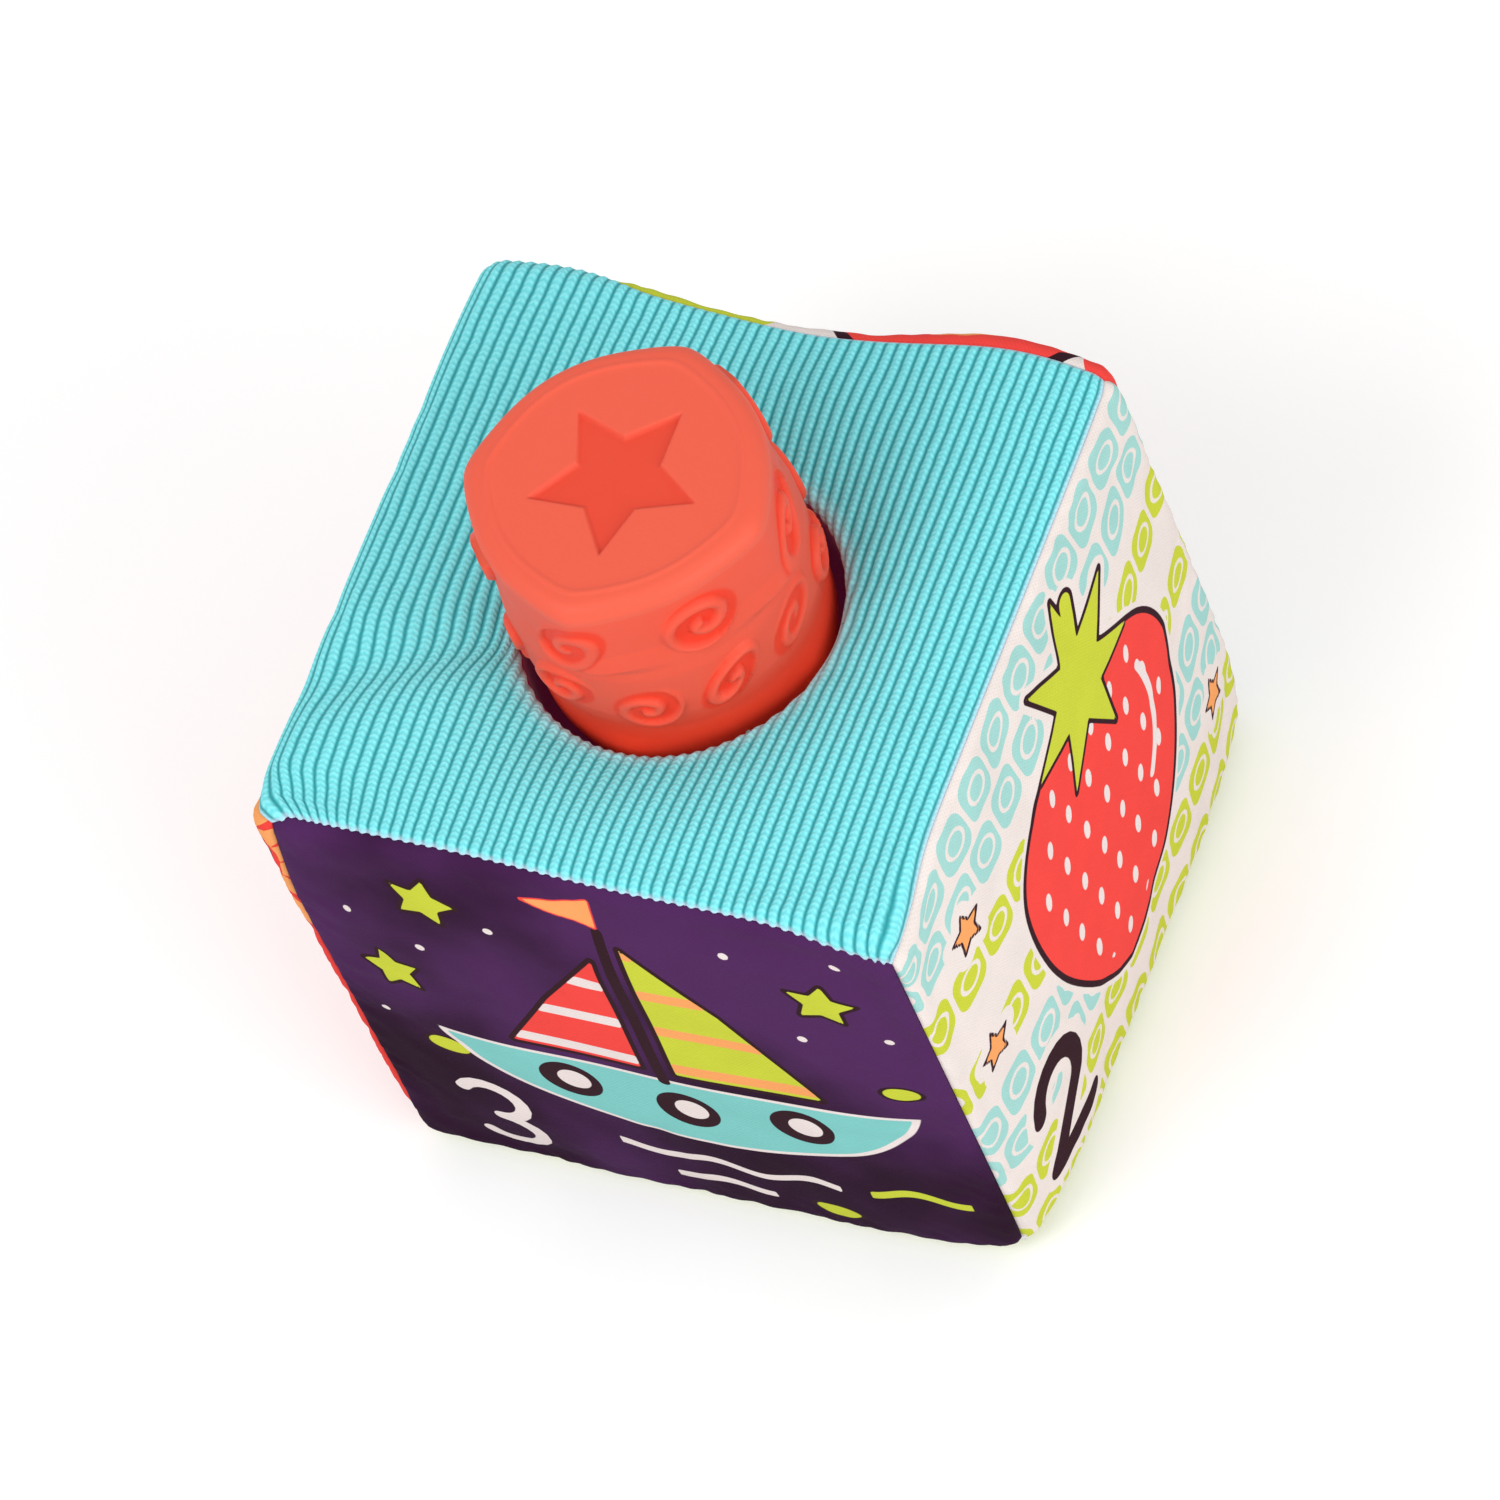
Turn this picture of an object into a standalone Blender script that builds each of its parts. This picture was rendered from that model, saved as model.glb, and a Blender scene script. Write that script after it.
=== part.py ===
"""Soft fabric block: a sewn cube of six padded panels round a soft filling, with a round pocket in its
rib-knit top, and a hollow rubber block that slides and turns in the pocket.

Metres, +Z up. The block rests on z = 0, centred on the Z axis, with its plain front towards -Y.
"""

from math import cos, pi, radians, sin, tau

import bmesh
import bpy
import numpy as np

# Sewn cover
BLOCK_WIDTH = 0.128
BLOCK_DEPTH = 0.124
BLOCK_HEIGHT = 0.120
PANEL_THICKNESS = 0.0018
SEAM_RADIUS = 0.005
SIDE_CROWN = 0.003
TOP_CROWN = 0.002
CORNER_PULL = 0.0010
BACK_SEAM_PULL = 0.0030
BACK_SEAM_DROP = 0.0008
CORNER_POWER = 6
SEAM_POWER = 4
STATION_SHARES = (0, 0.26, 0.5, 0.7, 0.86, 1)
SEAM_ANGLE_SHARES = (0.5, 1)

# Round opening in the top, a little wider than the rubber block, and the dip round it
OPENING_PLAY = 0.0004
OPENING_SHIFT_Y = -0.0018
DIP_DEPTH = 0.0045
DIP_SPREAD = 0.022
RING_SHARES = (0, 0.12, 0.3, 0.6)
FIRST_SPOKE_SHARE = 0.375

# Pocket under the opening
POCKET_DEPTH = 0.0585
LINING_THICKNESS = 0.001
POCKET_FLOOR_THICKNESS = 0.0012
ELASTIC_WIDTH = 0.006
ELASTIC_THICKNESS = 0.0015
POCKET_SPOKES = 48

# Rubber block
TOY_HEIGHT = 0.056
TOY_STANDING_OUT = 0.042
TOY_BODY_RADIUS = 0.027
TOY_FOOT_SPREAD = 0.0005
TOY_RELIEF = 0.0026
TOY_BAND_START = 0.0125
TOY_BAND_HEIGHT = 0.0225
TOY_BAND_SLOPE = 0.0014
TOY_CORNER_SWELL = 0.0022
TOY_CORNER_DEGREES = (-8, 85, 187, 271)
TOY_CORNER_SPREAD_DEGREES = 16
TOY_FOOT_ROUND = 0.005
TOY_TOP_ROUND = 0.0032
TOY_WALL = 0.0025
TOY_SPOKES = 48
ROUND_STEPS = 3
STAR_SHARE = 0.5
STAR_WAIST_SHARE = 0.5
STAR_POINTS = 5
STAR_DEPTH = 0.0009
STAR_TURN_DEGREES = 64

# Whistle plug in the rubber block's foot
PLUG_RADIUS = 0.0045
PLUG_FLANGE_RADIUS = 0.0065
PLUG_FLANGE_THICKNESS = 0.0012
PLUG_BARB_RADIUS = 0.0058
PLUG_BARB_HEIGHT = 0.0018
PLUG_BORE_RADIUS = 0.0008
PLUG_SPOKES = 24

# Clearances
SEAM_GAP = 0.0003
FIT_GAP = 0.0003
CUTTER_OVERRUN = 0.010
CURVE_WELD_SHARE = 100

BLOCK_SIZE = np.array([BLOCK_WIDTH, BLOCK_DEPTH, BLOCK_HEIGHT])
HALF = BLOCK_SIZE / 2
INNER_HALF = HALF - SEAM_RADIUS
TOY_FOOT_RADIUS = TOY_BODY_RADIUS + TOY_FOOT_SPREAD
TOY_BAND_RADIUS = TOY_BODY_RADIUS + TOY_RELIEF
STAR_RADIUS = TOY_BODY_RADIUS * STAR_SHARE
OPENING_RADIUS = TOY_BAND_RADIUS + OPENING_PLAY
LINING_RADIUS = OPENING_RADIUS
LINING_OUTER_RADIUS = LINING_RADIUS + LINING_THICKNESS
ELASTIC_RADIUS = LINING_OUTER_RADIUS + FIT_GAP
ELASTIC_OUTER_RADIUS = ELASTIC_RADIUS + ELASTIC_THICKNESS
POCKET_FLOOR_TOP = BLOCK_HEIGHT - POCKET_DEPTH
POCKET_FLOOR_UNDER = POCKET_FLOOR_TOP - POCKET_FLOOR_THICKNESS
TOY_BASE = BLOCK_HEIGHT + TOY_STANDING_OUT - TOY_HEIGHT

# Each face of the cube: its side, the direction that its columns run in, and that of its rows
FACES = {
    "top_panel": ((0, 0, 1), (1, 0, 0), (0, 1, 0)),
    "bottom_panel": ((0, 0, -1), (-1, 0, 0), (0, 1, 0)),
    "front_panel": ((0, -1, 0), (1, 0, 0), (0, 0, 1)),
    "back_panel": ((0, 1, 0), (-1, 0, 0), (0, 0, 1)),
    "right_panel": ((1, 0, 0), (0, 1, 0), (0, 0, 1)),
    "left_panel": ((-1, 0, 0), (0, -1, 0), (0, 0, 1)),
}
CROWNS = {"top_panel": TOP_CROWN, "bottom_panel": 0}

COLOURS = {
    "top_panel": (0.18, 0.62, 0.62),
    "front_panel": (0.075, 0.012, 0.095),
    "right_panel": (0.82, 0.72, 0.69),
    "back_panel": (0.80, 0.74, 0.62),
    "left_panel": (0.83, 0.10, 0.05),
    "bottom_panel": (0.55, 0.62, 0.05),
    "pocket_sleeve": (0.055, 0.004, 0.018),
    "pocket_floor": (0.055, 0.004, 0.018),
    "opening_elastic": (0.78, 0.77, 0.73),
    "upper_filling": (0.88, 0.88, 0.86),
    "base_filling": (0.88, 0.88, 0.86),
    "rubber_block": (0.87, 0.11, 0.065),
    "whistle_plug": (0.80, 0.80, 0.78),
}
ROUGHNESS = {"rubber_block": 0.45, "whistle_plug": 0.35}
FABRIC_ROUGHNESS = 0.9
SHARP_DEGREES = 40


def clear_scene():
    for obj in list(bpy.data.objects):
        bpy.data.objects.remove(obj)


def new_collection(name):
    collection = bpy.data.collections.new(name)
    bpy.context.scene.collection.children.link(collection)
    return collection


def finish_material(name):
    """A Principled material in the piece's own colour."""
    material = bpy.data.materials.new(name)
    material.use_nodes = True
    shader = material.node_tree.nodes["Principled BSDF"]
    shader.inputs["Base Color"].default_value = (*COLOURS[name], 1)
    shader.inputs["Roughness"].default_value = ROUGHNESS.get(name, FABRIC_ROUGHNESS)
    shader.inputs["Metallic"].default_value = 0
    return material


def add_piece(name, mesh):
    piece = bpy.data.objects.new(name, mesh)
    piece.data.materials.append(finish_material(name))
    piece.data.shade_smooth()
    piece.data.set_sharp_from_angle(angle=radians(SHARP_DEGREES))
    PIECES.objects.link(piece)
    return piece


def add_cutter(name, mesh):
    cutter = bpy.data.objects.new(name, mesh)
    cutter.hide_render = True
    cutter.display_type = "WIRE"
    CUTTERS.objects.link(cutter)
    return cutter


def mesh_from(work, name):
    mesh = bpy.data.meshes.new(name)
    work.to_mesh(mesh)
    work.free()
    return mesh


def cut(piece, cutter):
    boolean = piece.modifiers.new(cutter.name, "BOOLEAN")
    boolean.operation = "DIFFERENCE"
    boolean.solver = "EXACT"
    boolean.object = cutter


def turned(piece, profile, spokes, place):
    """Gives the piece a closed profile of (radius, height) points, turned about its own Z axis.

    The profile runs down its outer side and back up its inner side.
    """
    points = [(radius, 0, height) for radius, height in profile]
    edges = [(i, (i + 1) % len(points)) for i in range(len(points))]
    piece.data.from_pydata(points, edges, [])
    screw = piece.modifiers.new("turn", "SCREW")
    screw.angle = tau
    screw.steps = screw.render_steps = spokes
    screw.use_merge_vertices = True
    screw.merge_threshold = min(PLUG_BORE_RADIUS, FIT_GAP) / spokes
    piece.location = place
    return piece


def quarter(centre, radius, start, steps):
    """Points along a quarter circle, clockwise from the angle start, both ends included."""
    angles = [radians(start - 90 * i / steps) for i in range(steps + 1)]
    return [(centre[0] + radius * cos(a), centre[1] + radius * sin(a)) for a in angles]


def seam_stations(half_inner, mitre_gap):
    """(place, angle) pairs from one seam of a face to the other.

    Between the roundings the angle is zero and the place moves; on a rounding the place stays at its
    centre and the angle grows to the mitre at 45 degrees, less half of the gap between two panels.
    """
    shares = np.array(STATION_SHARES)
    flat = half_inner * np.concatenate([-shares[:0:-1], shares])
    mitre = pi / 4 - mitre_gap / 2 / SEAM_RADIUS
    turn = np.array(SEAM_ANGLE_SHARES) * mitre
    places = np.concatenate([np.full(len(turn), -half_inner), flat, np.full(len(turn), half_inner)])
    angles = np.concatenate([-turn[::-1], np.zeros(len(flat)), turn])
    return places, angles


def dip_at(x, y):
    """How far the knit is drawn down at a place on the top: a parabola that ends at the dip's spread."""
    out = (np.hypot(x, y - OPENING_SHIFT_Y) - OPENING_RADIUS) / DIP_SPREAD
    return DIP_DEPTH * (1 - np.clip(out, 0, 1)) ** 2


def swell_at(across, edge):
    """A crown's share along one direction: a parabola, 1 at the middle and 0 at the seams."""
    return 1 - np.clip(np.abs(across) / edge, 0, 1) ** 2


def pull_at(skin):
    """How far the cover is drawn in at points of its outside, counted from the block's middle.

    The corners come in towards the middle, and the middle of the seam between the top and the back
    comes forward and down, towards the opening. The lower corners stay level, so the block stands flat.
    """
    share = skin / HALF
    corner = np.prod(np.clip(np.abs(share), 0, 1) ** CORNER_POWER, axis=-1)
    back = (1 - np.clip(np.abs(share[..., 0]), 0, 1) ** 2) ** 2
    back = back * np.prod(np.clip(share[..., 1:], 0, 1) ** SEAM_POWER, axis=-1)
    to_middle = -np.sign(share) * CORNER_PULL * corner[..., None]
    to_middle[..., 2] = np.minimum(to_middle[..., 2], 0)
    return to_middle - back[..., None] * np.array([0, BACK_SEAM_PULL, BACK_SEAM_DROP])


def cover_points(face, column, row, depth, dipped=False):
    """Points of one face, `depth` under its outside.

    A point is the inner box's point at (column, row), moved out by the seam radius less the depth,
    along a direction that leans over with the two seam angles, so all faces meet in mitres.
    """
    side, across, along = (np.array(v, float) for v in FACES[face])
    (u, u_angle), (v, v_angle) = column, row
    lean = np.stack([np.tan(u_angle), np.tan(v_angle), np.ones_like(u_angle)], axis=-1)
    lean = lean / np.linalg.norm(lean, axis=-1, keepdims=True)
    skin = u + SEAM_RADIUS * lean[..., 0], v + SEAM_RADIUS * lean[..., 1]
    edges = np.abs(across) @ INNER_HALF, np.abs(along) @ INNER_HALF
    edges = [edge + SEAM_RADIUS * sin(pi / 4) for edge in edges]
    rise = CROWNS.get(face, SIDE_CROWN) * swell_at(skin[0], edges[0]) * swell_at(skin[1], edges[1])
    if dipped:
        rise = rise - dip_at(*skin)
    centre = np.stack([u, v, np.abs(side) @ INNER_HALF + rise], axis=-1)
    turned_to_face = np.stack([across, along, side])
    skin_points = (centre + SEAM_RADIUS * lean) @ turned_to_face
    points = (centre + (SEAM_RADIUS - depth) * lean) @ turned_to_face
    return points + pull_at(skin_points) + (0, 0, HALF[2])


def grid_faces(index):
    """Two triangles for each cell of a grid of point numbers, all split along the same diagonal.

    Layers that lie over each other then fold alike and stay apart.
    """
    a, b, c, d = index[:-1, :-1], index[1:, :-1], index[1:, 1:], index[:-1, 1:]
    halves = ((a, b, c), (a, c, d))
    return np.concatenate([np.stack([x.ravel() for x in half], axis=-1) for half in halves])


def border(index):
    """The point numbers round the edge of a grid, once round, from its first corner."""
    return np.concatenate([index[:-1, 0], index[-1, :-1], index[:0:-1, -1], index[0, :0:-1]])


def panel_mesh(name, outer, inner, faces, rims):
    """A panel lofted from its outer layer of points to its inner one, and closed round its rims."""
    count = len(outer)
    walls = []
    for rim in rims:
        ahead = np.roll(rim, -1)
        walls.append(np.stack([rim, rim + count, ahead + count], axis=-1))
        walls.append(np.stack([rim, ahead + count, ahead], axis=-1))
    faces = np.concatenate([faces, faces[:, ::-1] + count, *walls])
    used, faces = np.unique(faces, return_inverse=True)
    points = np.concatenate([outer, inner])[used]
    mesh = bpy.data.meshes.new(name)
    mesh.from_pydata(points.tolist(), [], faces.reshape(-1, 3).tolist())
    work = bmesh.new()
    work.from_mesh(mesh)
    bmesh.ops.recalc_face_normals(work, faces=work.faces)
    work.to_mesh(mesh)
    work.free()
    return mesh


def station_grid(face, mitre_gap):
    """The (place, angle) grids of a face's columns and rows."""
    halves = [np.abs(np.array(v, float)) @ INNER_HALF for v in FACES[face][1:]]
    columns, rows = (seam_stations(half, mitre_gap) for half in halves)
    places = np.meshgrid(columns[0], rows[0], indexing="ij")
    angles = np.meshgrid(columns[1], rows[1], indexing="ij")
    return (places[0], angles[0]), (places[1], angles[1])


def add_square_panel(face):
    column, row = station_grid(face, SEAM_GAP)
    index = np.arange(column[0].size).reshape(column[0].shape)
    layers = [cover_points(face, column, row, depth).reshape(-1, 3) for depth in (0, PANEL_THICKNESS)]
    return add_piece(face, panel_mesh(face, *layers, grid_faces(index), [border(index)]))


def top_layout():
    """The top's grid of stations, with its middle taken out and filled by rings round the opening.

    The rings have as many points as the gap in the grid has round its edge, evenly round the opening
    from the spoke that points to the gap's first corner. Each ring lies at its share of the way out
    to that edge.
    """
    column, row = station_grid("top_panel", SEAM_GAP)
    index = np.arange(column[0].size).reshape(column[0].shape)
    frame = len(SEAM_ANGLE_SHARES) + 1
    edge = border(index[frame:-frame, frame:-frame])
    faces = grid_faces(index)
    inside = np.isin(faces, index[frame:-frame, frame:-frame]).all(axis=1)
    turn = (np.arange(len(edge)) / len(edge) - FIRST_SPOKE_SHARE) * tau
    hole_u, hole_v = OPENING_RADIUS * np.cos(turn), OPENING_RADIUS * np.sin(turn) + OPENING_SHIFT_Y
    edge_u, edge_v = column[0].ravel()[edge], row[0].ravel()[edge]
    shares = np.array(RING_SHARES)[:, None]
    ring_u, ring_v = (a + (b - a) * shares for a, b in ((hole_u, edge_u), (hole_v, edge_v)))
    ring_index = index.size + np.arange(ring_u.size).reshape(ring_u.shape)
    spokes = np.vstack([ring_index, edge])
    around = grid_faces(np.hstack([spokes, spokes[:, :1]]))
    flat = np.zeros(ring_u.size)
    columns = np.append(column[0], ring_u), np.append(column[1], flat)
    rows = np.append(row[0], ring_v), np.append(row[1], flat)
    return columns, rows, np.concatenate([faces[~inside], around]), [border(index), ring_index[0]]


def add_top_panel():
    """The rib-knit panel; gives back the lowest height of its underside round the opening."""
    columns, rows, faces, rims = top_layout()
    layers = [cover_points("top_panel", columns, rows, depth, True) for depth in (0, PANEL_THICKNESS)]
    add_piece("top_panel", panel_mesh("top_panel", *layers, faces, rims))
    return layers[1][rims[1], 2].min()


def filling_mesh(name):
    """The closed body that fills the cover: all six faces at one depth, welded along their seams."""
    depth = PANEL_THICKNESS + FIT_GAP
    work = bmesh.new()
    for face in FACES:
        column, row = station_grid(face, 0)
        index = np.arange(column[0].size).reshape(column[0].shape)
        points = cover_points(face, column, row, depth).reshape(-1, 3)
        verts = [work.verts.new(point) for point in points]
        for corners in grid_faces(index):
            work.faces.new([verts[i] for i in corners])
    bmesh.ops.remove_doubles(work, verts=work.verts, dist=FIT_GAP / len(FACES))
    bmesh.ops.recalc_face_normals(work, faces=work.faces)
    return mesh_from(work, name)


def box_cutter(name, low, high):
    """A box wider than the block, between two heights."""
    work = bmesh.new()
    bmesh.ops.create_cube(work, size=1)
    size = [BLOCK_WIDTH + 2 * CUTTER_OVERRUN, BLOCK_DEPTH + 2 * CUTTER_OVERRUN, high - low]
    bmesh.ops.scale(work, vec=size, verts=work.verts)
    bmesh.ops.translate(work, vec=(0, 0, (low + high) / 2), verts=work.verts)
    return add_cutter(name, mesh_from(work, name))


def well_cutter(rim_under):
    """The space that the pocket, its elastic and the dip of the knit take out of the filling."""
    well = LINING_OUTER_RADIUS + FIT_GAP
    wide = ELASTIC_OUTER_RADIUS + FIT_GAP
    ledge = rim_under - FIT_GAP - ELASTIC_WIDTH - FIT_GAP
    knit_under = BLOCK_HEIGHT - PANEL_THICKNESS - FIT_GAP
    flare = [OPENING_RADIUS + DIP_SPREAD * share for share in (1, *RING_SHARES[::-1])]
    flare = [radius for radius in flare if radius > wide]
    mouth = [(radius, knit_under - dip_at(radius, OPENING_SHIFT_Y)) for radius in flare]
    top = BLOCK_HEIGHT + CUTTER_OVERRUN
    bottom = POCKET_FLOOR_UNDER - CUTTER_OVERRUN
    profile = [(0, top), (flare[0], top), *mouth, (wide, knit_under - dip_at(wide, OPENING_SHIFT_Y))]
    profile += [(wide, ledge), (well, ledge), (well, bottom), (0, bottom)]
    cutter = add_cutter("well_cutter", spun_mesh("well_cutter", profile, POCKET_SPOKES))
    cutter.location = (0, OPENING_SHIFT_Y, 0)
    return cutter


def add_fillings(rim_under):
    upper = add_piece("upper_filling", filling_mesh("upper_filling"))
    base = add_piece("base_filling", filling_mesh("base_filling"))
    cut(upper, box_cutter("below_pocket_cutter", -CUTTER_OVERRUN, POCKET_FLOOR_UNDER))
    cut(upper, well_cutter(rim_under))
    over_base = POCKET_FLOOR_UNDER - FIT_GAP
    cut(base, box_cutter("over_base_cutter", over_base, BLOCK_HEIGHT + CUTTER_OVERRUN))


def add_pocket(rim_under):
    lining_top = rim_under - FIT_GAP
    lining_bottom = POCKET_FLOOR_TOP + FIT_GAP
    lining = [(LINING_OUTER_RADIUS, lining_top), (LINING_OUTER_RADIUS, lining_bottom)]
    lining += [(LINING_RADIUS, lining_bottom), (LINING_RADIUS, lining_top)]
    elastic_bottom = lining_top - ELASTIC_WIDTH
    elastic = [(ELASTIC_OUTER_RADIUS, lining_top), (ELASTIC_OUTER_RADIUS, elastic_bottom)]
    elastic += [(ELASTIC_RADIUS, elastic_bottom), (ELASTIC_RADIUS, lining_top)]
    place = (0, OPENING_SHIFT_Y, 0)
    for name, profile in (("pocket_sleeve", lining), ("opening_elastic", elastic)):
        turned(add_piece(name, bpy.data.meshes.new(name)), profile, POCKET_SPOKES, place)
    work = bmesh.new()
    bmesh.ops.create_cone(
        work,
        cap_ends=True,
        segments=POCKET_SPOKES,
        radius1=LINING_OUTER_RADIUS,
        radius2=LINING_OUTER_RADIUS,
        depth=POCKET_FLOOR_THICKNESS,
    )
    floor = add_piece("pocket_floor", mesh_from(work, "pocket_floor"))
    floor.location = (0, OPENING_SHIFT_Y, POCKET_FLOOR_TOP - POCKET_FLOOR_THICKNESS / 2)


def corner_swell(turn, height):
    """How far the rubber block's soft corners stand out: a bell round each corner.

    Over the raised band they stand out at their full height at once. Under it they grow downwards,
    until the foot's corners are as wide as the band and so lie against the lining.
    """
    corners = np.array(TOY_CORNER_DEGREES)
    away = (np.degrees(turn)[:, None] - corners + 180) % 360 - 180
    bells = np.exp(-((away / TOY_CORNER_SPREAD_DEGREES) ** 2)).max(axis=1)
    band_end = TOY_BAND_START + TOY_BAND_HEIGHT
    rise = np.clip((height - band_end) / TOY_BAND_SLOPE, 0, 1)
    sink = np.clip((TOY_BAND_START - height) / (TOY_BAND_START - TOY_FOOT_ROUND), 0, 1)
    return bells * (TOY_CORNER_SWELL * rise + (TOY_BAND_RADIUS - TOY_FOOT_RADIUS) * sink)


def toy_outside():
    """The rubber block's outer profile, from the top's middle down to the plug's bore."""
    band_end = TOY_BAND_START + TOY_BAND_HEIGHT
    shoulder = TOY_BODY_RADIUS - TOY_TOP_ROUND, TOY_HEIGHT - TOY_TOP_ROUND
    foot = TOY_FOOT_RADIUS - TOY_FOOT_ROUND, TOY_FOOT_ROUND
    return [
        *quarter(shoulder, TOY_TOP_ROUND, 90, ROUND_STEPS),
        (TOY_BODY_RADIUS, band_end + TOY_BAND_SLOPE),
        (TOY_BAND_RADIUS, band_end - TOY_BAND_SLOPE),
        (TOY_BAND_RADIUS, TOY_BAND_START + TOY_BAND_SLOPE),
        (TOY_FOOT_RADIUS, TOY_BAND_START),
        *quarter(foot, TOY_FOOT_ROUND, 0, ROUND_STEPS),
    ]


def toy_seat():
    """The stepped hole in the foot that holds the whistle plug, from outside to inside."""
    flange = PLUG_FLANGE_RADIUS + FIT_GAP
    step = PLUG_FLANGE_THICKNESS + FIT_GAP
    neck = PLUG_RADIUS + FIT_GAP
    return [(flange, 0), (flange, step), (neck, step), (neck, TOY_WALL)]


def toy_inside():
    """The hollow's profile, from the foot up to the roof's middle."""
    width = TOY_BODY_RADIUS - TOY_WALL
    roof = TOY_HEIGHT - TOY_WALL
    return [
        (width - TOY_FOOT_ROUND + TOY_WALL, TOY_WALL),
        (width, TOY_FOOT_ROUND),
        (width, roof - TOY_TOP_ROUND + TOY_WALL),
        (width - TOY_TOP_ROUND + TOY_WALL, roof),
    ]


def spun(profile, spokes):
    """A profile that starts and ends on the axis, spun about Z, with its two poles closed."""
    work = bmesh.new()
    verts = [work.verts.new((radius, 0, height)) for radius, height in profile]
    edges = [work.edges.new(pair) for pair in zip(verts, verts[1:])]
    bmesh.ops.spin(
        work,
        geom=verts + edges,
        cent=(0, 0, 0),
        axis=(0, 0, 1),
        angle=tau,
        steps=spokes,
        use_merge=True,
    )
    bmesh.ops.remove_doubles(work, verts=work.verts, dist=FIT_GAP / spokes)
    bmesh.ops.recalc_face_normals(work, faces=work.faces)
    return work


def spun_mesh(name, profile, spokes):
    return mesh_from(spun(profile, spokes), name)


def star_cutter():
    """A plain five-pointed star that reaches down into the top by its depth."""
    outline = []
    for i in range(2 * STAR_POINTS):
        radius = STAR_RADIUS * (STAR_WAIST_SHARE if i % 2 else 1)
        turn = radians(STAR_TURN_DEGREES) + i * pi / STAR_POINTS
        outline.append((radius * cos(turn), radius * sin(turn)))
    curve = bpy.data.curves.new("star_outline", "CURVE")
    curve.dimensions = "2D"
    curve.fill_mode = "BOTH"
    curve.extrude = (STAR_DEPTH + CUTTER_OVERRUN) / 2
    spline = curve.splines.new("POLY")
    spline.use_cyclic_u = True
    spline.points.add(len(outline) - 1)
    for point, (x, y) in zip(spline.points, outline):
        point.co = (x, y, 0, 1)
    drawn = bpy.data.objects.new("star_outline", curve)
    CUTTERS.objects.link(drawn)
    graph = bpy.context.evaluated_depsgraph_get()
    work = bmesh.new()
    work.from_mesh(bpy.data.meshes.new_from_object(drawn.evaluated_get(graph)))
    bpy.data.objects.remove(drawn)
    bmesh.ops.remove_doubles(work, verts=work.verts, dist=STAR_DEPTH / CURVE_WELD_SHARE)
    bmesh.ops.recalc_face_normals(work, faces=work.faces)
    return add_cutter("star_cutter", mesh_from(work, "star_cutter"))


def add_rubber_block():
    """The hollow rubber block, with its origin on the axis that it slides and turns on."""
    profile = [(0, TOY_HEIGHT), *toy_outside(), *toy_seat(), *toy_inside(), (0, TOY_HEIGHT - TOY_WALL)]
    work = spun(profile, TOY_SPOKES)
    places = np.array([vert.co for vert in work.verts])
    turn = np.arctan2(places[:, 1], places[:, 0])
    radius = np.hypot(places[:, 0], places[:, 1])
    grown = radius + corner_swell(turn, places[:, 2]) * np.clip(radius / TOY_BODY_RADIUS, 0, 1) ** 2
    for vert, old, new in zip(work.verts, radius, grown):
        if old > FIT_GAP:
            vert.co.x *= new / old
            vert.co.y *= new / old
    bmesh.ops.recalc_face_normals(work, faces=work.faces)
    block = add_piece("rubber_block", mesh_from(work, "rubber_block"))
    block.location = (0, OPENING_SHIFT_Y, TOY_BASE)
    cutter = star_cutter()
    middle = TOY_BASE + TOY_HEIGHT + (CUTTER_OVERRUN - STAR_DEPTH) / 2
    cutter.location = (0, OPENING_SHIFT_Y, middle)
    cut(block, cutter)


def add_whistle_plug():
    """The flanged plug, with its barb inside the foot's wall."""
    barb = TOY_WALL + FIT_GAP
    profile = [
        (PLUG_RADIUS, barb + PLUG_BARB_HEIGHT),
        (PLUG_BARB_RADIUS, barb),
        (PLUG_RADIUS, barb),
        (PLUG_RADIUS, PLUG_FLANGE_THICKNESS),
        (PLUG_FLANGE_RADIUS, PLUG_FLANGE_THICKNESS),
        (PLUG_FLANGE_RADIUS, 0),
        (PLUG_BORE_RADIUS, 0),
        (PLUG_BORE_RADIUS, barb + PLUG_BARB_HEIGHT),
    ]
    plug = add_piece("whistle_plug", bpy.data.meshes.new("whistle_plug"))
    turned(plug, profile, PLUG_SPOKES, (0, OPENING_SHIFT_Y, TOY_BASE))


clear_scene()
PIECES = new_collection("soft_fabric_block")
CUTTERS = new_collection("cutters")
for face_name in FACES:
    if face_name != "top_panel":
        add_square_panel(face_name)
RIM_UNDER = add_top_panel()
add_fillings(RIM_UNDER)
add_pocket(RIM_UNDER)
add_rubber_block()
add_whistle_plug()
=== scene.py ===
# %% [markdown]
# # A soft fabric block
#
# The object is a baby's activity block. Six sewn fabric panels close round a soft filling, the top
# one is rib knit with a round opening, and a hollow rubber block stands in the pocket under it.
# This notebook dresses a fixed frame, the plain solids of a CAD model, with the cloth, print and
# rubber that the real pieces have. The first cell loads the frame and keeps its outer size.

from math import cos, pi, radians, sin, tau

import bpy
import numpy as np
from mathutils import Matrix, Vector


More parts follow.
